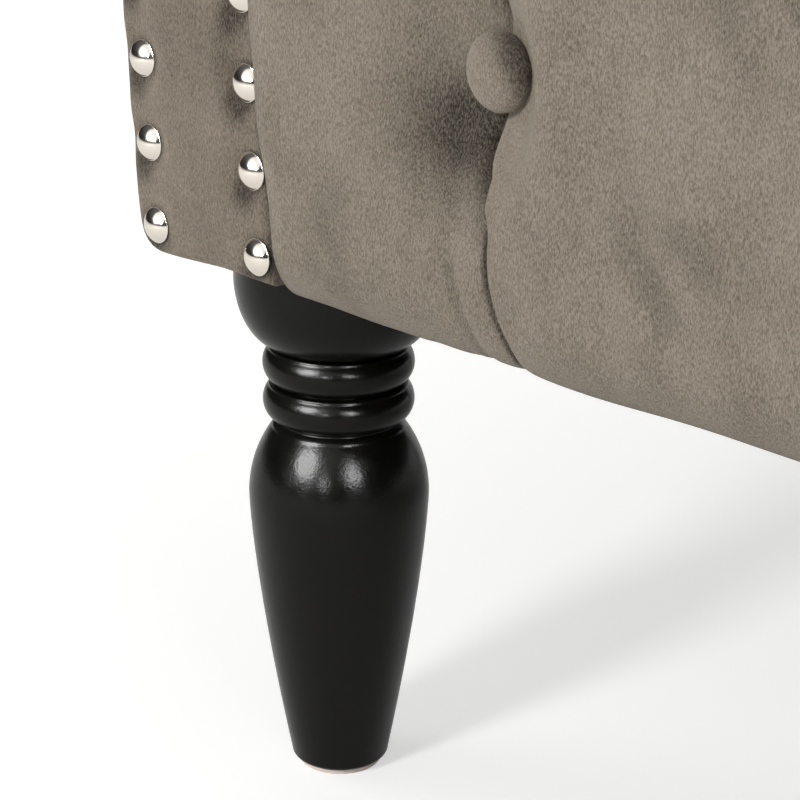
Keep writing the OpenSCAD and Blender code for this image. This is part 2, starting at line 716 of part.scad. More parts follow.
// Upholstered front panel of an arm
panel_round_1 = 1.5;
panel_round_2 = 4;
panel_step_1 = 13;
panel_step_2 = 16.5;
module panel_board(side) {
    color("peru") difference() {
        on_arm(side, post_face_y) linear_extrude(panel_t - panel_pad_t)
            polygon(outline(panel_skin_t, panel_skin_t, base_z + panel_up));
        at_nails(side) nail_hole();
    }
}
module panel_cover(side) {
    inset = panel_skin_t - soft_gap;
    color("#817769") difference() {
        on_arm(side, post_face_y) {
            linear_extrude(panel_step_1) polygon(outline(0, 0, panel_low_z));
            linear_extrude(panel_step_2)
                polygon(outline(panel_round_1, panel_round_1, panel_low_z + panel_round_1));
            linear_extrude(panel_t)
                polygon(outline(panel_round_2, panel_round_2, panel_low_z + panel_round_2));
        }
        on_arm(side, post_face_y + cut_over)
            linear_extrude(panel_t - panel_pad_t + soft_gap + cut_over)
                polygon(outline(inset, inset, base_z + panel_up - soft_gap));
        at_nails(side) nail_hole();
    }
}

// Flat covers outside: each runs up the wall and tucks under the roll
outer_steps = 6;
function tuck_line(inset) = concat(
    [[outer_u(base_z) - inset, base_z]],
    arc(neck_u(0) + tuck_fillet, roll_z - neck_drop(0, 0), tuck_fillet + inset,
        180, roll_end_angle + 180 + inset, outer_steps));
module outer_shape() {
    polygon(concat(tuck_line(soft_gap), reversed(tuck_line(soft_gap + fabric_t))));
}
corner_span = 3 * roll_r;
module beside_mitre(gap) {
    linear_extrude(sofa_h) polygon([
        [half_rail - corner_span, back_in_y - corner_span - gap],
        [half_rail + corner_span, back_in_y + corner_span - gap],
        [half_rail + corner_span, -sofa_d],
        [half_rail - corner_span, -sofa_d]
    ]);
}
module outer_arm_cover(side) {
    color("#7f7568") to_side(side) intersection() {
        on_arm(1, back_in_y + corner_span) linear_extrude(corner_span + back_in_y - post_face_y - soft_gap)
            outer_shape();
        beside_mitre(soft_gap);
    }
}
module outer_back_cover() {
    reach = half_rail + corner_span;
    color("#7f7568") difference() {
        on_back(-reach) linear_extrude(2 * reach) outer_shape();
        for (side = [-1, 1]) to_side(side) beside_mitre(0);
    }
}
dust_gap = 2;
dust_edge = 8;
module dust_cover() {
    z = base_z - burlap_t - soft_gap;
    middle_reach = leg_x - cup_r - dust_gap;
    middle_y = board_face_y + dust_gap;
    side_reach = half_rail + panel_w - dust_edge;
    side_y = front_leg_y + cup_r + dust_gap;
    color("#1c1c1c") {
        translate([-middle_reach, middle_y, z])
            cube([2 * middle_reach, back_in_y + panel_w - dust_edge - middle_y, burlap_t]);
        translate([-side_reach, side_y, z])
            cube([2 * side_reach, back_leg_y - cup_r - dust_gap - side_y, burlap_t]);
    }
}

// Covered buttons, each seated at the bottom of its well
button_lift = 0.7;
button_base_share = 0.35;
module button() {
    base = button_h * button_base_share;
    dome = button_h - base;
    ball = (button_r * button_r + dome * dome) / (2 * dome);
    rotate_extrude($fn = round_fn) polygon(concat(
        [[0, 0], [button_r - button_rim, 0]],
        arc(0, button_h - ball, ball, 90 - asin(button_r / ball), 90, turn_steps)
    ));
}
function rail_button_x(i) =
    ((i + 0.5) / rail_button_count * 2 - 1) * (half_rail + lean(button_z) - soft_gap);
module rail_buttons() {
    color("#857b6e") for (i = [0:rail_button_count - 1])
        translate([rail_button_x(i), rail_face_y + rail_well - button_lift, button_z])
            rotate([90, 0, 0]) button();
}

// Tilt of the padding's face at v, as the angle of its outward normal in [u, z]
function face_angle(v) = v <= roll_z
    ? 180 - atan((face_u(v + button_r) - face_u(v - button_r)) / button_d)
    : roll_angle(v);
function row_places_of(row, count) =
    [for (i = [1:count]) if (i - row_shift(row) < count) (i - row_shift(row)) / count];
module back_buttons() {
    color("#857b6e") for (row = [0:button_rows - 1]) for (t = row_places_of(row, back_button_count)) {
        v = button_v(row);
        p = face_point(v, 1, arm_well - button_lift);
        translate(back_at(p, t)) rotate([face_angle(v) - 90, 0, 0]) button();
    }
}
module arm_buttons(side) {
    color("#857b6e") to_side(side)
        for (row = [0:button_rows - 1]) for (t = row_places_of(row, arm_button_count)) {
            v = button_v(row);
            p = face_point(v, 1, arm_well - button_lift);
            translate(arm_at(p, t)) rotate([0, 90 - face_angle(v), 0]) button();
        }
}

// Loose seat cushions, each with a crown, drawn-in sides and a zip along its back
zip_room = 7;
cushion_low_z = seat_z + soft_gap;
cushion_front_y = rail_face_y + cushion_set_back;
cushion_back_y = deck_back_y - zip_room;
cushion_hx = (deck_reach - cushion_gap / 2) / 2;
cushion_hy = (cushion_back_y - cushion_front_y) / 2;
cushion_cx = cushion_gap / 2 + cushion_hx;
cushion_cy = cushion_front_y + cushion_hy;
cushion_hz = cushion_t / 2;
side_steps = 6;
bend_steps = 4;

// Each level of a cushion: how far its ring lies in from the side, as a share of half
// the cushion's depth, its height as a share of the edge's, and its share of the crown
level_shares = [
    [0.5, 0, 0], [0.06, 0, 0], [0.012, 0.05, 0], [0.012, 0.1, 0], [0, 0.3, 0], [0, 0.7, 0],
    [0.012, 0.9, 0], [0.012, 0.95, 0], [0.06, 1, 0.05], [0.2, 1, 0.45], [0.45, 1, 0.8], [0.75, 1, 0.97]
];
function drawn(i, steps) = cushion_draw * sin(180 * i / steps);
function ring(inset) = let (
        hx = cushion_hx - inset,
        hy = cushion_hy - inset,
        r = min(cushion_corner_r, hy / 2),
        f = 1 - inset / cushion_hy
    ) concat(
        [for (i = [0:side_steps - 1]) let (s = i / side_steps)
            [-hx + r + 2 * (hx - r) * s, -hy + f * drawn(i, side_steps)]],
        arc(hx - r, -hy + r, r, -90, 0, bend_steps),
        [for (i = [1:side_steps - 1]) let (s = i / side_steps)
            [hx - f * drawn(i, side_steps), -hy + r + 2 * (hy - r) * s]],
        arc(hx - r, hy - r, r, 0, 90, bend_steps),
        [for (i = [1:side_steps - 1]) [hx - r - 2 * (hx - r) * i / side_steps, hy]],
        arc(-hx + r, hy - r, r, 90, 180, bend_steps),
        [for (i = [1:side_steps - 1]) let (s = i / side_steps)
            [-hx + f * drawn(i, side_steps), hy - r - 2 * (hy - r) * s]],
        [for (i = [0:bend_steps - 1]) let (a = 180 + 90 * i / bend_steps)
            [-hx + r + r * cos(a), -hy + r + r * sin(a)]]
    );
cushion_rings = [for (l = level_shares) [for (p = ring(l[0] * cushion_hy))
    [p[0], p[1], l[1] * cushion_t + l[2] * cushion_crown]]];
module cushion_form() {
    n = len(cushion_rings[0]);
    rows = len(cushion_rings);
    points = concat(flat_list(cushion_rings), [[0, 0, 0], [0, 0, cushion_t + cushion_crown]]);
    wall = [for (k = [0:rows - 2]) for (i = [0:n - 1]) let (a = k * n + i, b = k * n + (i + 1) % n)
        each [[a, a + n, b + n], [a, b + n, b]]];
    low = [for (i = [0:n - 1]) [rows * n, i, (i + 1) % n]];
    top = [for (i = [0:n - 1]) [rows * n + 1, (rows - 1) * n + (i + 1) % n, (rows - 1) * n + i]];
    polyhedron(points, concat(wall, low, top));
}
core_in = 16;
core_room = 0.5;
module core_block(grow) {
    hx = cushion_hx - core_in + grow;
    hy = cushion_hy - core_in + grow;
    low = core_in / 2 - grow;
    translate([-hx, -hy, low]) cube([2 * hx, 2 * hy, cushion_t - 2 * low]);
}
module at_cushion(side) { translate([side * cushion_cx, cushion_cy, cushion_low_z]) children(); }
module cushion(side) {
    color("#8d8375") at_cushion(side) difference() {
        cushion_form();
        core_block(core_room);
    }
}
module cushion_core(side) { color("khaki") at_cushion(side) core_block(0); }
zip_reach = cushion_hx - zip_inset;
module cushion_zip(side) {
    color("#5d564c") at_cushion(side)
        translate([-zip_reach, cushion_hy + soft_gap, cushion_hz - zip_w / 2])
            cube([2 * zip_reach, zip_t, zip_w]);
}
tab_t = 1;
module zip_slider(side) {
    color("silver") at_cushion(side)
        translate([-zip_reach, cushion_hy + 2 * soft_gap + zip_t, cushion_hz - slider_w / 2]) {
            cube([slider_l, slider_t - tab_t, slider_w]);
            translate([slider_l / 4, slider_t - tab_t, -slider_w / 2])
                cube([slider_l / 2, tab_t, slider_w]);
        }
}

seat_front_board();
seat_back_board();
seat_side_board(-1);  // seat_side_board_left
seat_side_board(1);  // seat_side_board_right
seat_centre_board();
corner_blocks();
arm_front_post(-1);  // arm_front_post_left
arm_front_post(1);  // arm_front_post_right
arm_back_post(-1);  // arm_back_post_left
arm_back_post(1);  // arm_back_post_right
arm_bottom_rail(-1);  // arm_bottom_rail_left
arm_bottom_rail(1);  // arm_bottom_rail_right
arm_top_rail(-1);  // arm_top_rail_left
arm_top_rail(1);  // arm_top_rail_right
back_posts();
back_bottom_rail();
back_top_rail();
front_leg(-1);  // front_leg_left
front_leg(1);  // front_leg_right
back_leg(-1);  // back_leg_left
back_leg(1);  // back_leg_right
leg_glides();
leg_bolts();
leg_nuts();
seat_springs();
spring_clips();
seat_burlap();
seat_deck_pad();
seat_deck_cover();
back_webbing();
arm_webbing();
rail_cover();
back_foam();
back_cover();
arm_foam(-1);  // arm_foam_left
arm_foam(1);  // arm_foam_right
arm_cover(-1);  // arm_cover_left
arm_cover(1);  // arm_cover_right
panel_board(-1);  // panel_board_left
panel_board(1);  // panel_board_right
panel_cover(-1);  // panel_cover_left
panel_cover(1);  // panel_cover_right
nailheads(-1);  // nailheads_left
nailheads(1);  // nailheads_right
outer_arm_cover(-1);  // outer_arm_cover_left
outer_arm_cover(1);  // outer_arm_cover_right
outer_back_cover();
dust_cover();
rail_buttons();
back_buttons();
arm_buttons(-1);  // arm_buttons_left
arm_buttons(1);  // arm_buttons_right
cushion(-1);  // cushion_left
cushion(1);  // cushion_right
cushion_core(-1);  // cushion_core_left
cushion_core(1);  // cushion_core_right
cushion_zip(-1);  // cushion_zip_left
cushion_zip(1);  // cushion_zip_right
zip_slider(-1);  // zip_slider_left
zip_slider(1);  // zip_slider_right
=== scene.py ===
"""Looks of a velvet loveseat: buttoned padding, nailhead trim and turned black legs.

Lengths are in millimetres until make_mesh turns them into metres. A profile point is
[u, z]: u runs outward from the inner edge of an arm or of the back, z is the height.
"""
import math

import bpy
import numpy as np
from mathutils import Matrix, Vector, geometry


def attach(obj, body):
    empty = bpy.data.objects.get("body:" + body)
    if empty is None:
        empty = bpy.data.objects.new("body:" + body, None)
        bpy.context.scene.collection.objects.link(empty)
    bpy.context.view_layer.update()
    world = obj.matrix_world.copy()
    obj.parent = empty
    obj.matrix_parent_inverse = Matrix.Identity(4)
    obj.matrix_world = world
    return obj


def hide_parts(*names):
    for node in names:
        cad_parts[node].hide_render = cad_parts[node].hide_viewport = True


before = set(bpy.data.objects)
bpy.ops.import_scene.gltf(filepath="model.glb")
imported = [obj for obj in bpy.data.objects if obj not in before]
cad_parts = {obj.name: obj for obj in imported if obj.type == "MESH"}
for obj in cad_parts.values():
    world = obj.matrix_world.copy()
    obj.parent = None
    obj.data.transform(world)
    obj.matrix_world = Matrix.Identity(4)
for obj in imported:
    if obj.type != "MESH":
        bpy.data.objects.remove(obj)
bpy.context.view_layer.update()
MM = 0.001
SIDES = ((-1, "left"), (1, "right"))

# The object's driving sizes, the same as the frame's
LEG_H = 190.0
SOFA_D = 780.0
SOFA_H = 740.0
HALF_RAIL = 630.0
RAIL_H = 160.0
RAIL_SET_BACK = 0.5
RAIL_PAD = 29.0
RAIL_ROUND_Z = 20.0
RAIL_ROUND_Y = 15.0
RAIL_BUTTONS = 7
RAIL_WELL = 12.0
RAIL_BUTTON_UP = 85.0
PANEL_W = 66.5
PANEL_T = 19.0
PANEL_UP = 6.0
PANEL_CORNER = 10.0
LEAN = math.tan(math.radians(4.0))
ROLL_R = 74.0
PAD = 34.0
WELL = 14.0
BACK_BUTTONS = 7
ARM_BUTTONS = 4
BUTTON_ROWS = 3
NAIL_D = 12.0
NAIL_H = 3.3
NAIL_PITCH = 27.0
NAIL_EDGE = 6.5
NAIL_EDGE_OUT = 10.5
NAIL_LOW_UP = 8.0
BUTTON_R = 11.5
BUTTON_H = 8.0
BUTTON_LIFT = 0.7
CUSHION_T = 96.0
CUSHION_CROWN = 14.0
CUSHION_DRAW = 5.0
CUSHION_CORNER = 34.0
FABRIC = 1.5
GAP = 0.3
TUCK_FILLET = 16.0
ROLL_PAD = 17.0
FRONT_ROUND = 42.0
BOARD = 18.0
COVER = 4.0
CUP_R = 35.0
LEG_IN_X = 30.5
LEG_IN_Y = 55.0

# Places worked out from them
BASE_Z = LEG_H
LOW_Z = BASE_Z - FABRIC
PANEL_LOW_Z = LOW_Z + PANEL_UP
SEAT_Z = LOW_Z + RAIL_H
ROLL_Z = SOFA_H - ROLL_R
ROLL_U = PANEL_W / 2 + LEAN * (ROLL_Z - BASE_Z)
FACE_Y = -SOFA_D / 2 + NAIL_H
RAIL_Y = FACE_Y + RAIL_SET_BACK
BOARD_Y = RAIL_Y + RAIL_PAD
POST_Y = FACE_Y + PANEL_T
BACK_Y = SOFA_D / 2 - ROLL_U - ROLL_R
SLOPE_Z = SEAT_Z + CUSHION_T + CUSHION_CROWN
TUCK_Z = BASE_Z + 147.3
BUTTON_Z = LOW_Z + RAIL_BUTTON_UP
RAIL_W = 2 * HALF_RAIL
RAIL_PITCH = RAIL_W / RAIL_BUTTONS
WELL_FLAT = BUTTON_R + 2
ROW_PITCH = 86.0
ROW_UP = 60.0
ARM_Y = POST_Y + GAP
ARM_L = BACK_Y - ARM_Y
DECK_REACH = HALF_RAIL - PAD - GAP
DECK_FRONT_Y = BOARD_Y + BOARD + GAP
DECK_BACK_Y = BACK_Y - PAD - GAP
LEG_X = HALF_RAIL + LEG_IN_X
FRONT_LEG_Y = FACE_Y + LEG_IN_Y
BACK_LEG_Y = BACK_Y + LEG_IN_X

# How fine the grids are, how round the panel's edge, and how many points go round a turned shape
RAIL_STEP = 1.7
QUILT_STEP = 3.8
PANEL_STEP = 2.4
SHEET_STEP = 9.0
PANEL_ROUND = 3.4
LEG_AROUND = 96
NAIL_AROUND = 44
BUTTON_AROUND = 64
BUTTON_RINGS = 20
WELT_AROUND = 8


def ease(t):
    t = np.clip(t, 0.0, 1.0)
    return t * t * (3 - 2 * t)


def mix(a, b, t):
    return a + (b - a) * t


def bell(*shares):
    """1 where every share is 0, falling off smoothly on all sides."""
    return np.exp(-sum(share * share for share in shares))


# Side profile shared by the arms and the back
def lean(z):
    return LEAN * (z - BASE_Z)


def inner_u(z):
    reach = lean(ROLL_Z) - ROLL_U + ROLL_R
    return lean(z) - reach * ease((z - SEAT_Z) / (ROLL_Z - SEAT_Z))


def outer_u(z):
    return PANEL_W + lean(z)


def inset_at(z, body, roll):
    return body + (roll - body) * ease((z - SEAT_Z) / (ROLL_Z - SEAT_Z))


def neck_u(inset):
    return outer_u(ROLL_Z - ROLL_R) - inset


def neck_drop(body, roll):
    fillet = TUCK_FILLET + body
    across = neck_u(body) + fillet - ROLL_U
    return math.sqrt((ROLL_R - roll + fillet) ** 2 - across**2)


def neck_angle(body, roll):
    return math.atan2(-neck_drop(body, roll), neck_u(body) + TUCK_FILLET + body - ROLL_U)


ROLL_END = neck_angle(0, 0)
ROLL_END_V = ROLL_Z + ROLL_R * (math.pi - ROLL_END)


def joined(*parts):
    """Coordinates joined into points."""
    return np.stack(np.broadcast_arrays(*parts), -1)


def arc(cx, cy, r, a0, a1, n, tall=None):
    """An arc of n steps round (cx, cy), stretched upward where it is tall."""
    a = np.linspace(a0, a1, n + 1)
    return joined(cx + r * np.cos(a), cy + (tall or r) * np.sin(a))


def all_round(count):
    """Even angles all the way round."""
    return np.linspace(0, 2 * math.pi, count, endpoint=False)


def run_along(path):
    """How far along the path each of its points lies."""
    return np.concatenate([[0], np.cumsum(np.linalg.norm(np.diff(path, axis=0), axis=1))])


def spaced(path, step):
    """The path's points again, about step apart along it."""
    run = run_along(path)
    count = max(2, int(round(run[-1] / step)))
    s = np.linspace(0, run[-1], count + 1)
    return np.stack([np.interp(s, run, path[:, k]) for k in range(path.shape[1])], 1)


def outline(body, bottom, corner_steps=6, step=3.0):
    """Closed outline of an arm or of the back, drawn in by body."""
    fillet = TUCK_FILLET + body
    neck = neck_angle(body, body)
    corner = max(PANEL_CORNER - body, 2.0)
    zs = np.linspace(ROLL_Z, bottom, 60)[1:]
    wall = joined(inner_u(zs) + body, zs)
    closed = np.concatenate([
        wall[-1:],
        arc(outer_u(bottom) - body - corner, bottom + corner, corner, -math.pi / 2, 0, corner_steps),
        arc(neck_u(body) + fillet, ROLL_Z - neck_drop(body, body), fillet, math.pi,
            neck + math.pi, 12),
        arc(ROLL_U, ROLL_Z, ROLL_R - body, neck, math.pi, 60),
        wall,
    ])
    return spaced(closed, step)[:-1]


def add_object(name, data):
    piece = bpy.data.objects.new(name, data)
    bpy.context.scene.collection.objects.link(piece)
    return piece


def make_mesh(name, points, faces):
    mesh = bpy.data.meshes.new(name)
    mesh.from_pydata((np.asarray(points, float) * MM).tolist(), [], faces)
    mesh.validate()
    mesh.polygons.foreach_set("use_smooth", [True] * len(mesh.polygons))
    return add_object(name, mesh)


def grid_faces(rows, cols, flip=False, first=0):
    k, c = np.meshgrid(np.arange(rows - 1), np.arange(cols - 1), indexing="ij")
    a = (first + k * cols + c).ravel()
    quads = joined(a, a + 1, a + cols + 1, a + cols)
    if flip:
        quads = quads[:, ::-1]
    return quads.tolist()


def quilt(name, outer, inner, flip=False):
    """A closed pad: a fine grid of outer points [rows, cols, 3] over inner [rows, 2, 3]."""
    rows, cols = outer.shape[:2]
    base = rows * cols
    faces = grid_faces(rows, cols)
    for k in range(rows - 1):
        b = base + 2 * k
        faces.append([b, b + 2, b + 3, b + 1])
        faces.append([k * cols, (k + 1) * cols, b + 2, b])
        faces.append([(k + 2) * cols - 1, (k + 1) * cols - 1, b + 1, b + 3])
    last = base + 2 * (rows - 1)
    faces.append([base, base + 1] + list(range(cols - 1, -1, -1)))
    faces.append(list(range(base - cols, base)) + [last + 1, last])
    if flip:
        faces = [f[::-1] for f in faces]
    points = np.concatenate([outer.reshape(-1, 3), inner.reshape(-1, 3)])
    return make_mesh(name, points, faces)


def ring_faces(rows, around):
    """Faces that join rows of points into a turned shape, closed at both ends."""
    faces = []
    for k in range(rows - 1):
        for j in range(around):
            n = (j + 1) % around
            faces.append([k * around + j, k * around + n, (k + 1) * around + n, (k + 1) * around + j])
    faces.append(list(range(around - 1, -1, -1)))
    faces.append(list(range((rows - 1) * around, rows * around)))
    return faces


def repeated(name, shape, shape_faces, places):
    """One mesh with the shape at each place, given as (matrix that turns it, centre)."""
    points = np.concatenate([shape @ matrix.T + np.array(centre) for matrix, centre in places])
    faces = [[i + k * len(shape) for i in f] for k in range(len(places)) for f in shape_faces]
    return make_mesh(name, points, faces)


def facing(way):
    return Vector(way).to_track_quat("Z", "Y").to_matrix()


def put_crush_and_shade(piece, values):
    """Writes how crushed the pile is and how much painted shade darkens it at each point, for the velvet
    to read.
    """
    full = np.zeros(len(piece.data.vertices), np.float32)
    full[: values.size] = values.ravel()
    piece.data.attributes.new("crush_and_shade", "FLOAT", "POINT").data.foreach_set("value", full)


def smooth_noise(x, y, size, seed):
    """Gentle waves over a surface, between about -1 and 1, with bumps about size across."""
    rng = np.random.default_rng(seed)
    total = np.zeros(np.broadcast(x, y).shape)
    waves = 9
    for _ in range(waves):
        angle, phase = rng.uniform(0, 2 * math.pi, 2)
        k = 2 * math.pi / (size * rng.uniform(1.4, 2.8))
        total += np.sin(k * (x * math.cos(angle) + y * math.sin(angle)) + phase)
    return total / math.sqrt(waves) / 1.4


# Materials
def srgb(r, g, b):
    return tuple(
        (c / 12.92 if c <= 0.04045 else ((c + 0.055) / 1.055) ** 2.4)
        for c in (r / 255, g / 255, b / 255)
    ) + (1.0,)


def shade(colour, share):
    return tuple(share * c for c in colour[:3]) + (1.0,)


class Nodes:
    """A node tree under construction."""

    def __init__(self, tree):
        self.tree = tree

    def node(self, kind, **settings):
        node = self.tree.nodes.new(kind)
        for key, value in settings.items():
            if hasattr(node, key):
                setattr(node, key, value)
            else:
                node.inputs[key.replace("_", " ")].default_value = value
        return node

    def link(self, source, target):
        self.tree.links.new(source, target)

    def fill(self, sockets, sources):
        """Links each source to its socket, or sets the socket where the source is a plain value."""
        for socket, source in zip(sockets, sources):
            if isinstance(source, bpy.types.NodeSocket):
                self.link(source, socket)
            else:
                socket.default_value = source

    def ramp(self, source, low, high, from_value=0.0, to_value=1.0, kind="LINEAR"):
        """Maps source from low..high to from_value..to_value."""
        node = self.node("ShaderNodeMapRange", interpolation_type=kind)
        self.fill(node.inputs, (source, low, high, from_value, to_value))
        return node.outputs["Result"]

    def math(self, kind, a, b):
        node = self.node("ShaderNodeMath", operation=kind)
        self.fill(node.inputs, (a, b))
        return node.outputs["Value"]

    def mix_shaders(self, factor, low, high):
        """Shader low where factor is 0 and high where it is 1."""
        node = self.node("ShaderNodeMixShader")
        self.fill(node.inputs, (factor, low, high))
        return node.outputs["Shader"]


class Material(Nodes):
    """A material under construction."""

    def __init__(self, name, **inputs):
        self.made = bpy.data.materials.new(name)
        self.made.use_nodes = True
        super().__init__(self.made.node_tree)
        self.shader = self.tree.nodes["Principled BSDF"]
        for key, value in inputs.items():
            self.shader.inputs[key.replace("_", " ")].default_value = value

    def place(self, scale):
        """Object coordinates, stretched by scale: one number, or one for each axis."""
        scale = scale if isinstance(scale, tuple) else (scale,) * 3
        mapping = self.node("ShaderNodeMapping", Scale=scale)
        self.link(self.node("ShaderNodeTexCoord").outputs["Object"], mapping.inputs["Vector"])
        return mapping.outputs["Vector"]

    def noise(self, scale, detail=2.0, roughness=0.5, distortion=0.0):
        noise = self.node("ShaderNodeTexNoise", Scale=1.0, Detail=detail, Roughness=roughness,
                          Distortion=distortion)
        self.link(self.place(scale), noise.inputs["Vector"])
        return noise.outputs["Fac"]

    def colour(self, factor, low, high):
        """Base colour low where factor is 0 and high where it is 1."""
        self.link(self.blend(factor, low, high), self.shader.inputs["Base Color"])

    def blend(self, factor, low, high):
        node = self.node("ShaderNodeMix", data_type="RGBA")
        self.fill([node.inputs[socket] for socket in ("Factor", "A", "B")], (factor, low, high))
        return node.outputs["Result"]

    def rough(self, source):
        self.link(source, self.shader.inputs["Roughness"])

    def bump(self, *layers):
        """Stacks bumps, each given as (height, depth in millimetres)."""
        normal = None
        for height, depth in layers:
            node = self.node("ShaderNodeBump", Strength=1.0, Distance=depth * MM)
            self.link(height, node.inputs["Height"])
            if normal is not None:
                self.link(normal, node.inputs["Normal"])
            normal = node.outputs["Normal"]
        self.link(normal, self.shader.inputs["Normal"])


def velvet(name, light, dark, nap):
    """Short pile with a nap: fine streaks along one way, darker where its pile is crushed and where
    shade is painted on the piece.
    """
    made = Material(name, Roughness=0.9, Specular_IOR_Level=0.08, Sheen_Weight=0.3, Sheen_Roughness=0.4,
                    Sheen_Tint=(0.95, 0.88, 0.79, 1))
    streaks = made.noise(nap, 2.0, 0.55, 0.4)
    fuzz = made.noise(tuple(1.9 * s for s in nap), 2.0, 0.5)
    cloud = made.noise((34, 34, 24), 3.0, 0.6)
    crush_and_shade = made.node("ShaderNodeAttribute", attribute_name="crush_and_shade").outputs["Fac"]
    crush_and_shade_dark = made.math("MULTIPLY", crush_and_shade, made.ramp(streaks, 0.36, 0.62, 1.0, 0.62))
    grain = made.ramp(streaks, 0.36, 0.64, 0.06, 0.7)
    tone = made.math("ADD", grain, made.ramp(cloud, 0.34, 0.68, 0.05, 0.27))
    body = made.blend(tone, dark, light)
    made.colour(crush_and_shade_dark, body, shade(dark, 0.2))
    made.bump((fuzz, 0.16), (streaks, 0.42), (made.noise((140, 140, 60), 2.0), 0.25))
    return made.made


def lacquer():
    """Black lacquer with a soft shine and a faint orange peel."""
    made = Material("black_lacquer", Roughness=0.24, Specular_IOR_Level=0.18)
    made.colour(made.noise((60, 60, 14), 3.0), srgb(10, 10, 8), srgb(17, 17, 14))
    made.rough(made.ramp(made.noise((220, 220, 160), 3.0), 0.3, 0.7, 0.19, 0.27))
    made.bump((made.noise(950, 2.0), 0.058), (made.noise((150, 150, 40), 2.0), 0.03))
    return made.made


def nickel(name, colour, rough):
    made = Material(name, Metallic=1.0)
    made.colour(made.noise(300, 3.0), colour, shade(colour, 0.93))
    made.rough(made.ramp(made.noise(500, 3.0), 0.3, 0.7, rough, rough + 0.05))
    made.bump((made.noise(260, 2.0), 0.01))
    return made.made


def timber():
    made = Material("timber", Roughness=0.6)
    grain = made.noise((9, 160, 160), 4.0, 0.6, 0.6)
    fine = made.noise((60, 900, 900), 2.0)
    made.colour(made.ramp(grain, 0.3, 0.7), srgb(176, 136, 92), srgb(214, 180, 134))
    made.bump((grain, 0.2), (fine, 0.08))
    return made.made


def woven(name, warp, weft, pitch, rough=0.85, depth=0.15):
    """Plain weave of threads pitch millimetres apart along X and along Y."""
    made = Material(name, Roughness=rough, Specular_IOR_Level=0.2)
    turns = math.pi / (pitch * MM)
    parts = made.node("ShaderNodeSeparateXYZ")
    made.link(made.place(turns), parts.inputs["Vector"])
    wave = [made.math("SINE", parts.outputs[axis], 0.0) for axis in "XYZ"]
    over = made.math("MULTIPLY", made.math("ADD", wave[0], wave[2]), wave[1])
    mottled = made.ramp(made.noise(500, 2.0), 0.3, 0.7, -0.3, 0.3)
    made.colour(made.ramp(made.math("ADD", over, mottled), -1.0, 1.0), warp, weft)
    made.bump((over, depth))
    return made.made


def foam():
    made = Material("foam", Roughness=0.95)
    cells = made.node("ShaderNodeTexVoronoi", Scale=1.0)
    made.link(made.place(700), cells.inputs["Vector"])
    made.colour(made.noise(30, 2.0), srgb(226, 208, 150), srgb(240, 228, 180))
    made.bump((cells.outputs["Distance"], 0.5))
    return made.made


def nylon():
    made = Material("nylon", Roughness=0.5)
    made.colour(made.noise(200, 2.0), srgb(226, 206, 196), srgb(236, 220, 210))
    made.bump((made.noise(700, 2.0), 0.05))
    return made.made


def felt(name, low, high):
    """Matted non-woven cloth."""
    made = Material(name, Roughness=0.95, Specular_IOR_Level=0.15)
    made.colour(made.noise(900, 3.0, 0.7), low, high)
    made.bump((made.noise(700, 3.0, 0.7), 0.3))
    return made.made


VELVET_LIGHT = srgb(160, 150, 136)
VELVET_DARK = srgb(92, 83, 72)
UPRIGHT_NAP = (2500.0, 2500.0, 900.0)
LEVEL_NAP = (2500.0, 900.0, 2500.0)

MATERIALS = {
    "velvet": velvet("velvet", VELVET_LIGHT, VELVET_DARK, UPRIGHT_NAP),
    "velvet_panel": velvet("velvet_panel", srgb(150, 139, 125), srgb(86, 77, 66), UPRIGHT_NAP),
    "velvet_seat": velvet("velvet_seat", VELVET_LIGHT, VELVET_DARK, LEVEL_NAP),
    "black_lacquered_wood": lacquer(),
    "polished_nickel": nickel("polished_nickel", (0.9, 0.83, 0.745, 1), 0.1),
    "nylon_glide": nylon(),
    "timber": timber(),
    "zinc_steel": nickel("zinc_steel", (0.62, 0.63, 0.64, 1), 0.28),
    "spring_steel": nickel("spring_steel", (0.28, 0.28, 0.29, 1), 0.35),
    "burlap": woven("burlap", srgb(150, 118, 78), srgb(190, 160, 114), 2.2, 0.95, 0.4),
    "webbing": woven("webbing", srgb(120, 104, 76), srgb(168, 150, 118), 1.6, 0.9, 0.3),
    "foam": foam(),
    "deck_cloth": woven("deck_cloth", srgb(38, 37, 36), srgb(54, 52, 50), 0.8, 0.9, 0.12),
    "dust_cloth": felt("dust_cloth", srgb(20, 20, 21), srgb(38, 38, 39)),
    "zip_tape": woven("zip_tape", srgb(84, 77, 68), srgb(104, 96, 86), 0.7, 0.85, 0.1),
    "nickel_zip": nickel("nickel_zip", (0.7, 0.68, 0.65, 1), 0.18),
}


def dress(piece, material, covers, body="sofa_frame"):
    """Gives a new piece its material, the nodes it stands for and its body."""
    piece.data.materials.append(MATERIALS[material])
    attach(piece, body)
    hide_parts(*covers)


def dress_node(name, material):
    """Gives a node that shows as it is its material."""
    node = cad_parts[name]
    node.data.materials.clear()
    node.data.materials.append(MATERIALS[material])
    node.data.polygons.foreach_set("use_smooth", [True] * len(node.data.polygons))
    node.data.set_sharp_from_angle(angle=math.radians(38))


# Front rail: one row of buttons, each with a crease from the underside to the top
def rail_section(step):
    """The cover's section as [y, z], from the underside of the board up to its top."""
    under = arc(RAIL_Y + RAIL_ROUND_Y, LOW_Z + RAIL_ROUND_Z, RAIL_ROUND_Y, 1.5 * math.pi, math.pi, 39,
                RAIL_ROUND_Z)
    top_r = 18.0
    over = arc(RAIL_Y + top_r, SEAT_Z - top_r, top_r, math.pi, math.pi / 2, 24)
    path = np.concatenate([[[BOARD_Y, LOW_Z]], under, over, [[BOARD_Y + BOARD, SEAT_Z]]])
    return spaced(path, step)


# Distances from a button's crease at which the rail has its columns
CREASE_STEPS = np.concatenate([
    np.arange(0, 7, 0.35), np.arange(7, 12, 0.75), np.arange(12, 30, 1.6), np.arange(30, 87, 3.0)
])


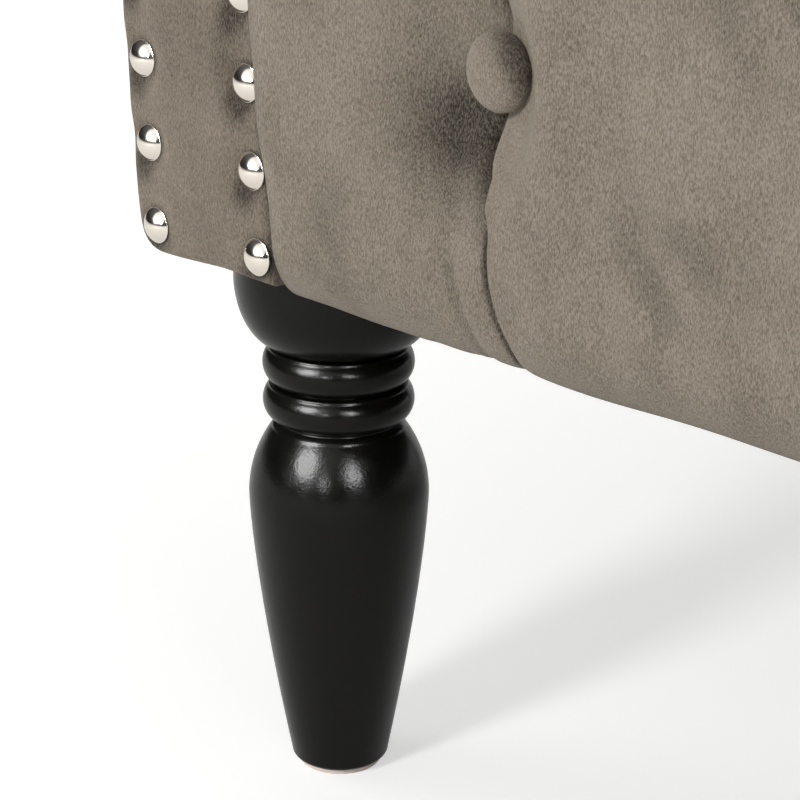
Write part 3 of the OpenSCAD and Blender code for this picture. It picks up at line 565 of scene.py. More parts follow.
def crease_way(b):
    """How far the crease strays to the right at b above the button."""
    left = -6.4 * ease(-b / 26) * (1 - ease((-b - 25) / 21)) - 0.8 * bell((b + 50) / 7)
    return left + 6.8 * ease((-b - 55) / 24) + ease((b - 20) / 40)


# Folds that fan out from a button: how far left they start, how they spread, their width and height
RAIL_FANS = ((-7.0, 0.13, 3.0, 1.3), (-14.0, 0.24, 3.8, 1.0), (-22.0, 0.34, 5.0, 0.6))


def rail_sink(a, b, seed):
    """Depth of the cover at a to the right of a button and b above it, and how dark it is there from
    crushed pile and painted shade.
    """
    # The well round the button, steeper to the right than to the left
    r = np.hypot(a, b / 1.15)
    away = np.abs(b)
    spread = np.where(a > 0, mix(44.0, 30.0, np.clip(a / np.maximum(r, 1e-6), 0, 1)), 60.0)
    well = RAIL_WELL * (1 - ease((r - WELL_FLAT + 2) / (spread - WELL_FLAT))) ** 1.3
    # The crease through the button: one side steep, the other running out gently
    depth = 3.2 + (RAIL_WELL - 4.5) * bell(away / 27.0) + 0.8 * smooth_noise(b, 0 * b, 40, seed)
    button_a, a = a, a - crease_way(b)
    right = depth * np.exp(-np.maximum(a, 0) / 3.6)
    left = depth * np.exp(-np.maximum(-a, 0) / mix(17.0, 9.0, ease(away / 80)))
    crease = np.where(a >= 0, right, left)
    # Its sharp bottom, and a second crease beside it above the button
    slit = 3.6 * np.exp(-np.abs(a) / 0.9) * ease((away - 9) / 6)
    second = 2.2 * np.exp(-np.abs(a + 4.4 + 0.02 * away) / 1.0) * ease((b - 12) / 8)
    # Folds that fan out to the left, and one fold down to the underside
    fan = np.zeros_like(a)
    for start, slope, width, tall in RAIL_FANS:
        line = start - slope * away
        fade = ease((away - 14) / 22) * (1 - 0.35 * ease((away - 60) / 30))
        fan += tall * fade * bell((a - line) / width)
    fold = 1.9 * bell((a + 13) / 2.3) + 0.8 * bell((a + 15) / 6)
    fan += fold * ease((-b - 40) / 28)
    # The pad swells between two creases
    swell = 3.0 * bell((a - 22) / 24) + 1.6 * bell((a + 56) / 24)
    swell *= 1 - ease((np.abs(button_a) - 66) / 24)
    sink = np.maximum(well, crease) + 0.35 * np.minimum(well, crease) + slit + second + fan - swell
    sink = np.minimum(sink, RAIL_WELL + 3.0)
    # Under the button, above it and along the crease the cover is darkened by crushed pile and painted
    # shade, and beside the fold below it by painted shade
    under = 1.2 * bell((button_a + 14) / 19, (b + 18) / 17)
    under = np.maximum(under, 1.15 * bell((button_a + 2) / 10, (b + 15) / 7))
    trail = 0.9 * bell((a + 2) / 5) * bell((b + 27) / 15)
    above = 0.9 * bell((a + 1.5) / 4) * bell((b - 26) / 14)
    line = 0.95 * bell((a + 0.4) / 1.1) * ease((away - 10) / 8)
    soft = 0.42 * bell((a + 15) / 2.4) * ease((-b - 40) / 28)
    crushed_and_shaded = np.where(a > 0.6, 0.0, np.max([under, trail, above, line, soft], axis=0))
    return sink, np.clip(crushed_and_shaded, 0, 1)


def rail():
    section = rail_section(RAIL_STEP)
    z = section[:, 1]
    tangent = np.gradient(section, axis=0)
    normal = joined(-tangent[:, 1], tangent[:, 0])
    normal /= np.linalg.norm(normal, axis=1)[:, None]
    run = run_along(section)
    button_run = np.interp(BUTTON_Z, z, run)
    places = [(i + 0.5) * RAIL_PITCH for i in range(RAIL_BUTTONS)]
    steps = np.concatenate([-CREASE_STEPS[:0:-1], CREASE_STEPS])
    columns = np.unique(np.concatenate([[0.0, RAIL_W]] + [p + steps for p in places]).round(3))
    edge_fade = ease(run / 14) * ease((run[-1] - run) / 18)
    # Its ends follow the panels that lean out, and above the boards they draw in
    x_full = HALF_RAIL + lean(np.maximum(BASE_Z, z)) - GAP
    drawn_in = (z > TUCK_Z - GAP) & (section[:, 0] > RAIL_Y + 9.0)
    x_end = np.where(drawn_in, DECK_REACH, x_full)
    b = (run - button_run)[:, None]
    # Loose waves, patches of crushed pile, and painted shade that darkens the cover low down towards its
    # underside
    wave_x, wave_z = columns[None, :], run[:, None]
    sink = 0.7 * smooth_noise(wave_x, wave_z, 60, 11) + 0.3 * smooth_noise(wave_x, wave_z, 17, 12)
    strokes = smooth_noise(0.6 * wave_x + 0.8 * wave_z, 0.35 * wave_x - 0.25 * wave_z, 9, 14)
    patches = smooth_noise(wave_x, wave_z, 42, 15)
    crush_and_shade = 0.34 * ease((patches - 0.1) / 0.9) * ease((strokes + 0.6) / 1.2)
    crush_and_shade += 0.09 * (1 - ease((z - LOW_Z - 4) / 48))[:, None]
    for i, place in enumerate(places):
        a = columns[None, :] - place
        near = np.abs(a[0]) <= RAIL_PITCH / 2 + 0.01
        drop, dark = rail_sink(a + 0 * b, b + 0 * a, 40 + i)
        sink[:, near] += drop[:, near]
        crush_and_shade[:, near] = np.maximum(crush_and_shade, dark)[:, near]
    # It bulges beside the panels and lies flatter low down
    from_end = np.minimum(columns, RAIL_W - columns)[None, :]
    sink -= 3.8 * bell(from_end / 21) * ease((b + 66) / 50)
    low_calm = mix(0.3, 1.0, ease((z - LOW_Z - 14) / 42))
    sink *= (edge_fade * low_calm)[:, None]
    # Only the outer half pitch takes up the drawn in ends
    way = 2 * columns[None, :] / RAIL_W - 1
    hold = 1 - 1 / RAIL_BUTTONS
    out = np.maximum(0, np.abs(way) - hold) / (1 - hold)
    reach = np.minimum(np.abs(way), hold) * x_full[:, None] + out * (x_end - hold * x_full)[:, None]
    down = section[:, None] - sink[..., None] * normal[:, None]
    points = np.concatenate([(np.sign(way) * reach)[..., None], down], 2)
    ends = np.array([-1.0, 1.0])[None, :] * x_end[:, None]
    inner = joined(ends, BOARD_Y - GAP, np.linspace(LOW_Z + GAP, TUCK_Z, len(section))[:, None])
    inner[-1, :, 1] = BOARD_Y + BOARD
    piece = quilt("front_rail_cover", points, inner)
    put_crush_and_shade(piece, crush_and_shade)
    dress(piece, "velvet", ["rail_cover"])


# Covered buttons
def button_points():
    """A covered button about the origin, facing +Z, as rings of points and faces."""
    base = 0.32 * BUTTON_H
    rows = []
    for k in range(BUTTON_RINGS + 1):
        t = k / BUTTON_RINGS
        if t < 0.25:
            r = mix(BUTTON_R - 2.2, BUTTON_R, math.sin(0.5 * math.pi * t / 0.25))
            h = base * t / 0.25
        else:
            s = (t - 0.25) / 0.75
            r = BUTTON_R * math.cos(0.5 * math.pi * s)
            h = base + (BUTTON_H - base) * math.sin(0.5 * math.pi * s) ** 0.92
        rows.append((max(r, 0.02), h))
    a = all_round(BUTTON_AROUND)
    points = []
    for r, h in rows:
        pucker = 1 + 0.006 * np.sin(11 * a) * (r / BUTTON_R) ** 3
        points.append(joined(r * pucker * np.cos(a), r * pucker * np.sin(a), h))
    return np.concatenate(points), ring_faces(len(rows), BUTTON_AROUND)


def buttons(name, nodes, places):
    """One piece of covered buttons, each at a place: (centre, direction it faces)."""
    shape, shape_faces = button_points()
    turned, crush_and_shade = [], []
    for k, (centre, way) in enumerate(places):
        matrix = np.array(facing(way) @ Matrix.Rotation(0.7 * k, 3, "Z"))
        # Painted shade darkens a crescent on one upper side of each button, as if the pad beside it
        # shaded it
        across = Vector((0, 0, 1)).cross(Vector(way)).normalized()
        shaded_side = np.array(across * 0.83 + Vector(way).cross(across) * 0.56)
        crush_and_shade.append(0.92 * ease((shape @ matrix.T @ shaded_side / BUTTON_R - 0.12) / 0.8))
        turned.append((matrix, centre))
    piece = repeated(name, shape, shape_faces, turned)
    put_crush_and_shade(piece, np.concatenate(crush_and_shade))
    dress(piece, "velvet", nodes)


def rail_buttons():
    reach = HALF_RAIL + lean(BUTTON_Z) - GAP
    places = []
    for i in range(RAIL_BUTTONS):
        x = ((i + 0.5) / RAIL_BUTTONS * 2 - 1) * reach
        places.append(((x, RAIL_Y + RAIL_WELL - BUTTON_LIFT, BUTTON_Z), (0, -1, 0)))
    buttons("front_rail_buttons", ["rail_buttons"], places)


# Quilted faces of the back and the arms, with pleats between their buttons
def button_v(row):
    return SLOPE_Z + ROW_UP + ROW_PITCH * row


def roll_angle(v):
    return math.pi - (v - ROLL_Z) / ROLL_R


def on_roll(v, r):
    a = roll_angle(v)
    return ROLL_U + r * np.cos(a), ROLL_Z + r * np.sin(a)


def face_u(z):
    return -PAD + (PAD + ROLL_U - ROLL_R) * ease((z - SLOPE_Z) / (ROLL_Z - SLOPE_Z))


def face_point(v, front, sink):
    """[u, z] on the padding at v, drawn in by sink; front is 1 where the padding is full."""
    tight = inner_u(v) + inset_at(v, FABRIC, 0)
    over_u, over_z = on_roll(v, ROLL_R - sink * front)
    wall_u = tight + (face_u(v) + sink - tight) * front
    return np.where(v <= ROLL_Z, wall_u, over_u), np.where(v <= ROLL_Z, v, over_z)


def lining_point(v):
    over_u, over_z = on_roll(v, ROLL_R - ROLL_PAD)
    wall_u = inner_u(v) + inset_at(v, COVER, ROLL_PAD)
    return np.where(v <= ROLL_Z, wall_u, over_u), np.where(v <= ROLL_Z, v, over_z)


def pleat(distance, depth, width=15.0):
    """A soft fold: deep and narrow at its line, running out over the pad beside it."""
    return depth * (0.72 * np.exp(-distance / width) + 0.28 * np.exp(-distance / 2.6))


def tufting(v, w, count, length, seed):
    """Depth at v up the face and w along it, and how dark it is there from crushed pile and painted
    shade under each button.
    """
    pitch = length / count
    flat_way = ROW_PITCH / math.hypot(ROW_PITCH, pitch / 2)
    folds = []
    wells = 0 * v * w
    crush_and_shade = 0 * wells
    for row in range(BUTTON_ROWS):
        shift = row_shift(row)
        k = np.round(w / pitch - shift) + shift
        real = (k > 0) & (k < count)
        dw, dv = w - k * pitch, v - button_v(row)
        r = np.hypot(dw, dv)
        rim = np.clip((r - WELL_FLAT) / 30, 0, 1)
        wells = np.maximum(wells, np.where(real, WELL * (1 - ease(rim)) ** 1.15, 0))
        # Under each button the pile is darker: crushed pile and painted shade
        crush_and_shade = np.where(real, np.maximum(crush_and_shade, 0.8 * bell(dw / 17, (dv + 15) / 14)), crush_and_shade)
        if row < BUTTON_ROWS - 1:
            s = np.clip(dv / ROW_PITCH, 0, 1)
            inside = ease(dv / 6) * ease((ROW_PITCH - dv) / 6)
            depth = 6.0 + (WELL - 6.0) * np.abs(2 * s - 1) ** 3
            for way in (-0.5, 0.5):
                # Pleats that run on a slant up to the next row
                off = (w / pitch - shift - way * s + 0.5) % 1 - 0.5
                folds.append(pleat(np.abs(off) * pitch * flat_way, depth * inside))
    # Straight pleats below the first row and above the last
    ends = ((0, -1, 0.5), (BUTTON_ROWS - 1, 1, 0.5 if BUTTON_ROWS % 2 else 0.0))
    for row, way, shift in ends:
        out = way * (v - button_v(row))
        off = (w / pitch - shift + 0.5) % 1 - 0.5
        depth = (3.6 + (WELL - 3.6) * np.exp(-np.maximum(out, 0) / 34)) * ease(out / 6)
        folds.append(pleat(np.abs(off) * pitch, depth, 12.0))
    fold = np.max(folds, axis=0)
    sink = np.maximum(wells, fold) + 0.3 * np.minimum(wells, fold)
    puff = 3.2 * ease((WELL - 2 - sink) / WELL)
    loose = 0.8 * smooth_noise(w, v, 70, seed) + 0.3 * smooth_noise(w, v, 19, seed + 1)
    return np.minimum(sink, WELL + 1.5) - puff + loose, crush_and_shade


def quilt_rows(step):
    return spaced(np.array([[TUCK_Z], [ROLL_END_V]]), step)[:, 0]


def seam_sink(distance):
    """How far a pad is drawn in beside a seam at its end."""
    return 5.0 * np.exp(-distance / 7.0)


def back_at(u, z, t):
    return joined((2 * t - 1) * (HALF_RAIL + u - GAP), BACK_Y + u, z)


def arm_at(u, z, t):
    return joined(HALF_RAIL + u, ARM_Y + t * (ARM_L + u - GAP), z)


def tufted(name, node, at, t, length, count, seed, edge, calm=1.0, front=1.0, flip=True):
    """A tufted pad that at(u, z, t) puts in place, t from 0 to 1 along it, its seam edge away."""
    v = quilt_rows(QUILT_STEP)[:, None]
    sink, crush_and_shade = tufting(v, t * length, count, length, seed)
    near = ease(edge / 26) * calm
    sink = sink * near + seam_sink(edge)
    u, z = face_point(v, front, sink * ease((v - TUCK_Z) / 10) * ease((ROLL_END_V - v) / 16))
    piece = quilt(name, at(u, z, t), at(*lining_point(v), np.array([[0.0, 1.0]])), flip)
    put_crush_and_shade(piece, crush_and_shade * near)
    dress(piece, "velvet", [node])


def back_quilt():
    t = np.linspace(0, 1, 361)[None, :]
    edge = np.minimum(t, 1 - t) * RAIL_W
    tufted("back_quilt", "back_cover", back_at, t, RAIL_W, BACK_BUTTONS, 21, edge)


def arm_quilt(side, name):
    def at(u, z, t):
        return arm_at(u, z, t) * np.array([side, 1, 1])

    turn = FRONT_ROUND / ARM_L
    t = np.unique(np.concatenate([np.linspace(0, turn, 26), np.linspace(turn, 1, 150)]))[None, :]
    w = t * ARM_L
    front = np.sqrt(1 - np.maximum(0, 1 - w / FRONT_ROUND) ** 2)
    tufted(f"arm_quilt_{name}", f"arm_cover_{name}", at, t, ARM_L, ARM_BUTTONS, 31 if side < 0 else 35,
           ARM_L - w, ease(w / 30), front, side < 0)


def row_shift(row):
    """Every other row of buttons is moved by half a pitch."""
    return 0.5 if row % 2 == 0 else 0.0


def places_of(row, count):
    shift = row_shift(row)
    return [(i - shift) / count for i in range(1, count + 1) if i - shift < count]


def face_angle(v):
    if v > ROLL_Z:
        return roll_angle(v)
    rise = face_u(v + BUTTON_R) - face_u(v - BUTTON_R)
    return math.pi - math.atan(rise / (2 * BUTTON_R))


def quilt_buttons():
    back, arm = [], []
    for row in range(BUTTON_ROWS):
        v = button_v(row)
        u, z = (float(c) for c in face_point(np.array(v), 1.0, WELL - BUTTON_LIFT))
        a = face_angle(v)
        for t in places_of(row, BACK_BUTTONS):
            back.append((back_at(u, z, t), (0, math.cos(a), math.sin(a))))
        for t in places_of(row, ARM_BUTTONS):
            arm.append((arm_at(u, z, t), (math.cos(a), 0, math.sin(a))))
    buttons("back_button_rows", ["back_buttons"], back)
    for side, name in SIDES:
        places = [((side * c[0], c[1], c[2]), (side * way[0], 0, way[2])) for c, way in arm]
        buttons(f"arm_button_rows_{name}", [f"arm_buttons_{name}"], places)


# Flat covers outside: each runs up the wall and tucks in under the roll
def wall_profile(inset):
    fillet = TUCK_FILLET + inset
    end = ROLL_END + math.pi + math.radians(inset)
    top = ROLL_Z - neck_drop(0, 0)
    zs = np.linspace(BASE_Z, top, 90)
    wall = joined(outer_u(zs) - inset, zs)
    wall[:, 0] += (neck_u(0) - inset - wall[-1, 0]) * ease((zs - top + 120) / 120)
    tuck = arc(neck_u(0) + TUCK_FILLET, top, fillet, math.pi, end, 14)
    return np.concatenate([wall, tuck[1:]])


def outer_sheet(name, node, place, length, seed, flip):
    """A thin cover over a wall: place(u, t) gives x and y for t from 0 to 1 along it."""
    def at(u, z, t):
        return joined(*place(u, t), z)

    outside, inside = wall_profile(GAP), wall_profile(GAP + FABRIC)
    t = np.linspace(0, 1, int(length / 6))[None, :]
    u, z = outside[:, :1], outside[:, 1:]
    run = run_along(outside)[:, None]
    w = t * length
    fade = ease(run / 40) * ease((run[-1] - run) / 40) * ease(w / 30) * ease((length - w) / 30)
    slack = 0.9 * fade * (smooth_noise(w, run, 120, seed) - 0.4)
    pulls = 0.5 * np.cos(2 * math.pi * w / 24) * np.exp(-run / 9) * ease(run / 4)
    inner = at(inside[:, :1], inside[:, 1:], np.array([[0.0, 1.0]]))
    piece = quilt(name, at(u + slack + pulls, z, t), inner, flip)
    dress(piece, "velvet_panel", [node])


def outer_covers():
    def place_back(u, t):
        return (2 * t - 1) * (HALF_RAIL + u), BACK_Y + u

    for side, name in SIDES:
        def place(u, t, side=side):
            return side * (HALF_RAIL + u), mix(POST_Y + GAP, BACK_Y + u - GAP, t)

        outer_sheet(f"outer_arm_sheet_{name}", f"outer_arm_cover_{name}", place, BACK_Y - POST_Y, 51,
                    side > 0)
    outer_sheet("outer_back_sheet", "outer_back_cover", place_back, RAIL_W, 61, False)


# Arm panels with their nailheads
def nail_places():
    low = PANEL_LOW_Z + NAIL_LOW_UP
    fillet = TUCK_FILLET + NAIL_EDGE
    turn = neck_angle(NAIL_EDGE, NAIL_EDGE)
    zs = np.linspace(low, ROLL_Z, 12, endpoint=False)
    path = np.concatenate([
        joined(inner_u(zs) + NAIL_EDGE, zs),
        arc(ROLL_U, ROLL_Z, ROLL_R - NAIL_EDGE, math.pi, turn, 20),
        arc(neck_u(NAIL_EDGE) + fillet, ROLL_Z - neck_drop(NAIL_EDGE, NAIL_EDGE), fillet,
            turn + math.pi, math.pi, 4),
        [[outer_u(low) - NAIL_EDGE_OUT, low]],
    ])
    whole = run_along(path)[-1]
    return spaced(path, whole / round(whole / NAIL_PITCH))


# How far the panel's rings lie inside its edge, and where the painted shadow below each nail lies from
# its centre
PANEL_RINGS = (0.0, 0.5, 1.4, 2.7, 4.4, 6.6)
NAIL_SHADE = np.array([3.4, -7.6])


def panel(side, name):
    rim = outline(0, PANEL_LOW_Z)
    nails = nail_places()
    # Flat points: rings close together along the edge and a grid inside them
    rings = [outline(inset, PANEL_LOW_Z + inset) for inset in PANEL_RINGS]
    spans = [np.arange(low, high, PANEL_STEP) for low, high in zip(rim.min(0), rim.max(0))]
    inside = joined(*np.meshgrid(*spans)).reshape(-1, 2)
    last = rings[-1]
    keep = inside_of(inside, last) & (distance_to(inside, last) > PANEL_STEP / 2)
    flat = np.concatenate(rings + [inside[keep]])
    loops, start = [], 0
    for ring in rings:
        loops.append(list(range(start, start + len(ring))))
        start += len(ring)
    edges = [(a, b) for loop in loops for a, b in zip(loop, loop[1:] + loop[:1])]
    found = geometry.delaunay_2d_cdt([Vector(p) for p in flat], edges, [loops[0]], 1, 1e-4)
    flat = np.array([tuple(v) for v in found[0]])
    faces = [list(f) for f in found[2]]
    u, z = flat.T
    edge = distance_to(flat, rim)
    # The round edge, the dips beside the nails, painted shadow below each nail and painted shade round
    # its rim, and the pad's rise
    t = np.clip(edge / PANEL_ROUND, 0, 1)
    depth = PANEL_ROUND * 0.5 * (1 - np.sqrt(1 - (1 - t) ** 2))
    crush_and_shade = np.zeros(len(flat))
    for nail in nails:
        d = np.linalg.norm(flat - nail, axis=1)
        depth += 1.5 * bell(d / 7.5)
        below = flat - (nail + NAIL_SHADE)
        crush_and_shade += 1.2 * bell(below[:, 0] / 4.9, below[:, 1] / 4.8)
        crush_and_shade += 0.6 * np.exp(-((d / 7.4) ** 6))
    middle = ease((edge - 4) / 16)
    depth -= 1.6 * middle
    depth += middle * 0.5 * smooth_noise(u, z, 26, 5)
    depth += 0.22 * smooth_noise(u, z, 9, 6)
    for nail in nails:
        d = np.linalg.norm(flat - nail, axis=1)
        depth = np.maximum(depth, mix(0.25, -3.0, ease((d - 7.2) / 6)))
    # Crushed pile along the inner nails, and painted shade in the seam
    inner_line = inner_u(z) + NAIL_EDGE
    band = bell((u - inner_line - 12) / 9) * ease((ROLL_Z - z) / 90)
    patches = np.maximum(0, 0.45 + 0.75 * smooth_noise(u, 0.55 * z, 15, 8))
    crush_and_shade += 0.6 * band * patches * ease((z - PANEL_LOW_Z - 20) / 30)
    seam = u - inner_u(z)
    crush_and_shade += 0.8 * bell(seam / 3.2) * (0.7 + 0.5 * smooth_noise(z, 0 * z, 11, 10))
    # The outer edge and the lower corner are a little uneven
    wave = 0.35 * smooth_noise(z, 0 * z, 17, 9) * (1 - ease(edge / 10))
    out = np.where(u > mix(inner_u(z), outer_u(z), 0.5), wave, 0.0)
    out += 0.3 * (1 - ease(edge / 8)) * (out != 0)
    count = len(flat)
    corner = np.array([outer_u(PANEL_LOW_Z), PANEL_LOW_Z])
    hang = 1.5 * bell(np.linalg.norm(flat - corner, axis=1) / 26)
    hang += 0.35 * smooth_noise(u, 0 * u, 13, 12) * (1 - ease((z - PANEL_LOW_Z) / 12))
    hang *= 1 - ease(edge / 12)
    front = joined(u + out, FACE_Y + np.maximum(depth, -2.5), z - hang)
    # Side walls and the back, joined to the front's border
    border = [i for i in range(count) if edge[i] < 1e-3]
    order = sorted(border, key=lambda i: nearest(rim, flat[i]))
    back, halfway = front[order], front[order]
    back[:, 1] = POST_Y
    halfway[:, 1] = mix(halfway[:, 1], POST_Y, 0.45)
    n = len(order)
    faces = [f if area_sign(flat, f) > 0 else f[::-1] for f in faces]
    for j in range(n):
        k = (j + 1) % n
        faces.append([order[j], count + j, count + k, order[k]])
        faces.append([count + j, count + n + j, count + n + k, count + k])
    faces.append([count + n + j for j in range(n)])
    points = np.concatenate([front, halfway, back])
    points[:, 0] = side * (HALF_RAIL + points[:, 0])
    if side < 0:
        faces = [f[::-1] for f in faces]
    piece = make_mesh(f"arm_panel_cover_{name}", points, faces)
    put_crush_and_shade(piece, np.clip(crush_and_shade, 0, 1))
    dress(piece, "velvet_panel", [f"panel_cover_{name}"])


def area_sign(flat, face):
    p = flat[face]
    q = np.roll(p, -1, axis=0)
    return float((p[:, 0] * q[:, 1] - q[:, 0] * p[:, 1]).sum())


def nearest(line, point):
    return int(np.argmin(((line - point) ** 2).sum(1)))


def inside_of(points, loop):
    """Whether each point lies inside a closed loop."""
    x, y = points[:, 0], points[:, 1]
    inside = np.zeros(len(points), bool)
    after = np.roll(loop, -1, axis=0)
    for (x0, y0), (x1, y1) in zip(loop, after):
        if y0 != y1:
            crosses = ((y0 > y) != (y1 > y)) & (x < (x1 - x0) * (y - y0) / (y1 - y0) + x0)
            inside ^= crosses
    return inside


def distance_to(points, loop):
    """Each point's distance from a closed loop."""
    best = np.full(len(points), 1e9)
    after = np.roll(loop, -1, axis=0)
    for a, b in zip(loop, after):
        ab = b - a
        t = np.clip(((points - a) @ ab) / (ab @ ab), 0, 1)
        best = np.minimum(best, np.linalg.norm(points - (a + t[:, None] * ab), axis=1))
    return best


# Turned legs and dome nailheads
def lathe(name, profile, around, places):
    """Turns a profile of [radius, height] about each place, given as (centre, direction)."""
    a = all_round(around)
    r, z = profile[:, :1], profile[:, 1:]
    shape = joined(r * np.cos(a), r * np.sin(a), z).reshape(-1, 3)
    turned = [(np.array(facing(way)), centre) for centre, way in places]
    return repeated(name, shape, ring_faces(len(profile), around), turned)


def soften(profile, step, passes):
    """The profile in even steps, its sharp grooves eased into small fillets."""
    even = spaced(profile, step)
    for _ in range(passes):
        even[1:-1] = 0.25 * even[:-2] + 0.5 * even[1:-1] + 0.25 * even[2:]
    return even


def leg_profile():
    """The turning from the foot up to the cup, as [radius, height]."""
    # Heights and radii of the cup, the two rings, the belly and the foot
    cup_h, cup_round, ring_r, ring_h, groove_r = 33.0, 24.0, 25.8, 13.2, 20.5
    belly_r, belly_z, foot_r, glide_h, foot_edge, power = 31.0, 103.0, 17.2, 2.0, 2.5, 1.37
    top = LEG_H - cup_h - 2 * ring_h
    low = glide_h + foot_edge
    z = np.linspace(low, belly_z, 60)
    thinned = ((belly_z - z) / (belly_z - low)) ** power
    taper = joined(belly_r - (belly_r - foot_r) * thinned, z)
    rise, narrow = top - belly_z, belly_r - groove_r
    shoulder_r = (rise**2 + narrow**2) / (2 * narrow)
    h = np.linspace(0, rise, 30)[1:]
    shoulder = joined(belly_r - shoulder_r + np.sqrt(shoulder_r**2 - h**2), belly_z + h)
    shoulder = shoulder[h < rise - 2.2]
    turned = [taper, shoulder, [shoulder[-1] + (0, 0.5), (groove_r + 0.3, top - 0.6)]]
    low_end, high_end, cup_end = (math.radians(degrees) for degrees in (-84, 52, -86))
    for centre in (top + ring_h * 0.5, top + ring_h * 1.5):
        ring = arc(groove_r, centre, ring_r - groove_r, low_end, high_end, 29, ring_h / 2)
        turned += [ring, [ring[-1] + (0, 0.9), (groove_r + 0.3, centre + ring_h / 2 - 0.3)]]
    cup_z = LEG_H - cup_h + cup_round
    turned.append(arc(groove_r, cup_z, CUP_R - groove_r, cup_end, 0, 33, cup_round))
    turned.append([(CUP_R, LEG_H - 0.6)])
    body = np.concatenate([soften(turned[0], 1.6, 1)[:-1], soften(np.concatenate(turned[1:]), 0.36, 2)])
    foot = arc(foot_r - foot_edge, low, foot_edge, -math.pi / 2, 0, 10)[:-1]
    return np.concatenate([[[0.05, glide_h]], foot, body, [[CUP_R - 0.6, LEG_H], [0.05, LEG_H]]])


def legs():
    profile = leg_profile()
    for side, name in SIDES:
        for end, y in (("front", FRONT_LEG_Y), ("back", BACK_LEG_Y)):
            place = ((side * LEG_X, y, 0), (0, 0, 1))
            piece = lathe(f"turned_leg_{end}_{name}", profile, LEG_AROUND, [place])
            dress(piece, "black_lacquered_wood", [f"{end}_leg_{name}"])


def nailheads():
    r = NAIL_D / 2
    ball = (r * r + NAIL_H * NAIL_H) / (2 * NAIL_H)
    spread = math.asin(r / ball)
    dome = arc(0, NAIL_H - ball, ball, math.pi / 2 - spread * 0.985, math.pi / 2, 18)
    dome[-1, 0] = 0.03
    profile = np.concatenate([[[0.03, 0.1], [r - 0.35, 0.1], [r - 0.08, 0.16]], dome])
    for side, name in SIDES:
        places = [((side * (HALF_RAIL + u), FACE_Y, z), (0, -1, 0)) for u, z in nail_places()]
        piece = lathe(f"dome_nails_{name}", profile, NAIL_AROUND, places)
        dress(piece, "polished_nickel", [f"nailheads_{name}"])


# Loose seat cushions: a simulated cover between two piped seams
CUSHION_GAP = 1.0
ZIP_ROOM = 7.0
CUSHION_LOW_Z = SEAT_Z + GAP
CUSHION_FRONT_Y = RAIL_Y + 4.0
CUSHION_HX = (DECK_REACH - CUSHION_GAP / 2) / 2
CUSHION_HY = (DECK_BACK_Y - ZIP_ROOM - CUSHION_FRONT_Y) / 2
CUSHION_CX = CUSHION_GAP / 2 + CUSHION_HX
CUSHION_CY = CUSHION_FRONT_Y + CUSHION_HY
CUSHION_CELLS = 56
BOXING_ROWS = 9
SEAM_IN = 3.4
SEAM_LOW = 5.0
SEAM_TOP = CUSHION_T - 6.0
WELT_R = 2.7
SWELL_PRESSURE = 4.0
SWELL_MOMENTS = 20
SWELL_MOST = 22.0


def cushion_plan(a, b):
    """A place on the cushion for a and b from -1 to 1, its corners round and its sides drawn in."""
    m = np.maximum(np.maximum(np.abs(a), np.abs(b)), 1e-6)
    hx, hy = CUSHION_HX - SEAM_IN, CUSHION_HY - SEAM_IN
    x, y = a * hx, b * hy
    r = CUSHION_CORNER * m
    px, py = np.abs(x) - (m * hx - r), np.abs(y) - (m * hy - r)
    corner = (px > 0) & (py > 0)
    pull = np.where(corner, r / np.maximum(np.hypot(px, py), 1e-6), 1.0)
    x = np.where(corner, np.sign(x) * (m * hx - r + px * pull), x)
    y = np.where(corner, np.sign(y) * (m * hy - r + py * pull), y)
    across = np.cos(math.pi / 2 * np.clip(np.abs(y) / (hy - CUSHION_CORNER), 0, 1))
    along = np.cos(math.pi / 2 * np.clip(np.abs(x) / (hx - CUSHION_CORNER), 0, 1))
    x = x - CUSHION_DRAW * across * np.sign(a) * np.abs(a) ** 4
    y = y + CUSHION_DRAW * along * np.maximum(-b, 0) ** 4
    return x, y


def cushion_cover():
    """Points and faces of one cover about its base's centre, and its seam rings' point numbers."""
    n = CUSHION_CELLS + 1
    line = np.sin(np.linspace(-1, 1, n) * math.pi / 2 * 0.86) / math.sin(math.pi / 2 * 0.86)
    a, b = np.meshgrid(line, line)
    x, y = cushion_plan(a, b)
    # Crowned top and a base that is flat inside its seam
    full = (1 - np.abs(a) ** 5) * (1 - np.abs(b) ** 5)
    swell = (1 - a**2) * (1 - b**2)
    high = SEAM_TOP + (CUSHION_T - SEAM_TOP) * full + 0.75 * CUSHION_CROWN * swell**0.7
    top = joined(x, y, high)
    low = joined(x, y, SEAM_LOW * (1 - ease(full / 0.35)))
    last = n - 1
    rim = [(0, j) for j in range(n)] + [(i, last) for i in range(1, n)]
    rim += [(last, j) for j in range(last - 1, -1, -1)] + [(i, 0) for i in range(last - 1, 0, -1)]
    rim = np.array([i * n + j for i, j in rim])
    points = [top.reshape(-1, 3), low.reshape(-1, 3)]
    top_rim, low_rim = rim, rim + n * n
    ring = points[0][rim, :2]
    way = np.roll(ring, -1, 0) - np.roll(ring, 1, 0)
    out = joined(way[:, 1], -way[:, 0]) / np.linalg.norm(way, axis=1)[:, None]
    rows = [low_rim]
    for k in range(1, BOXING_ROWS):
        s = k / BOXING_ROWS
        # The boxing between the seams bulges a little
        bulge = (SEAM_IN - 0.4) * math.sin(math.pi * s) ** 0.7
        level = np.column_stack([ring + bulge * out, np.full(len(ring), mix(SEAM_LOW, SEAM_TOP, s))])
        rows.append(np.arange(len(ring)) + sum(len(p) for p in points))
        points.append(level)
    rows.append(top_rim)
    faces = grid_faces(n, n) + grid_faces(n, n, flip=True, first=n * n)
    for lower, upper in zip(rows, rows[1:]):
        after = [np.roll(row, -1) for row in (lower, upper)]
        faces += joined(lower, after[0], after[1], upper).tolist()
    return np.concatenate(points), faces, low_rim, top_rim


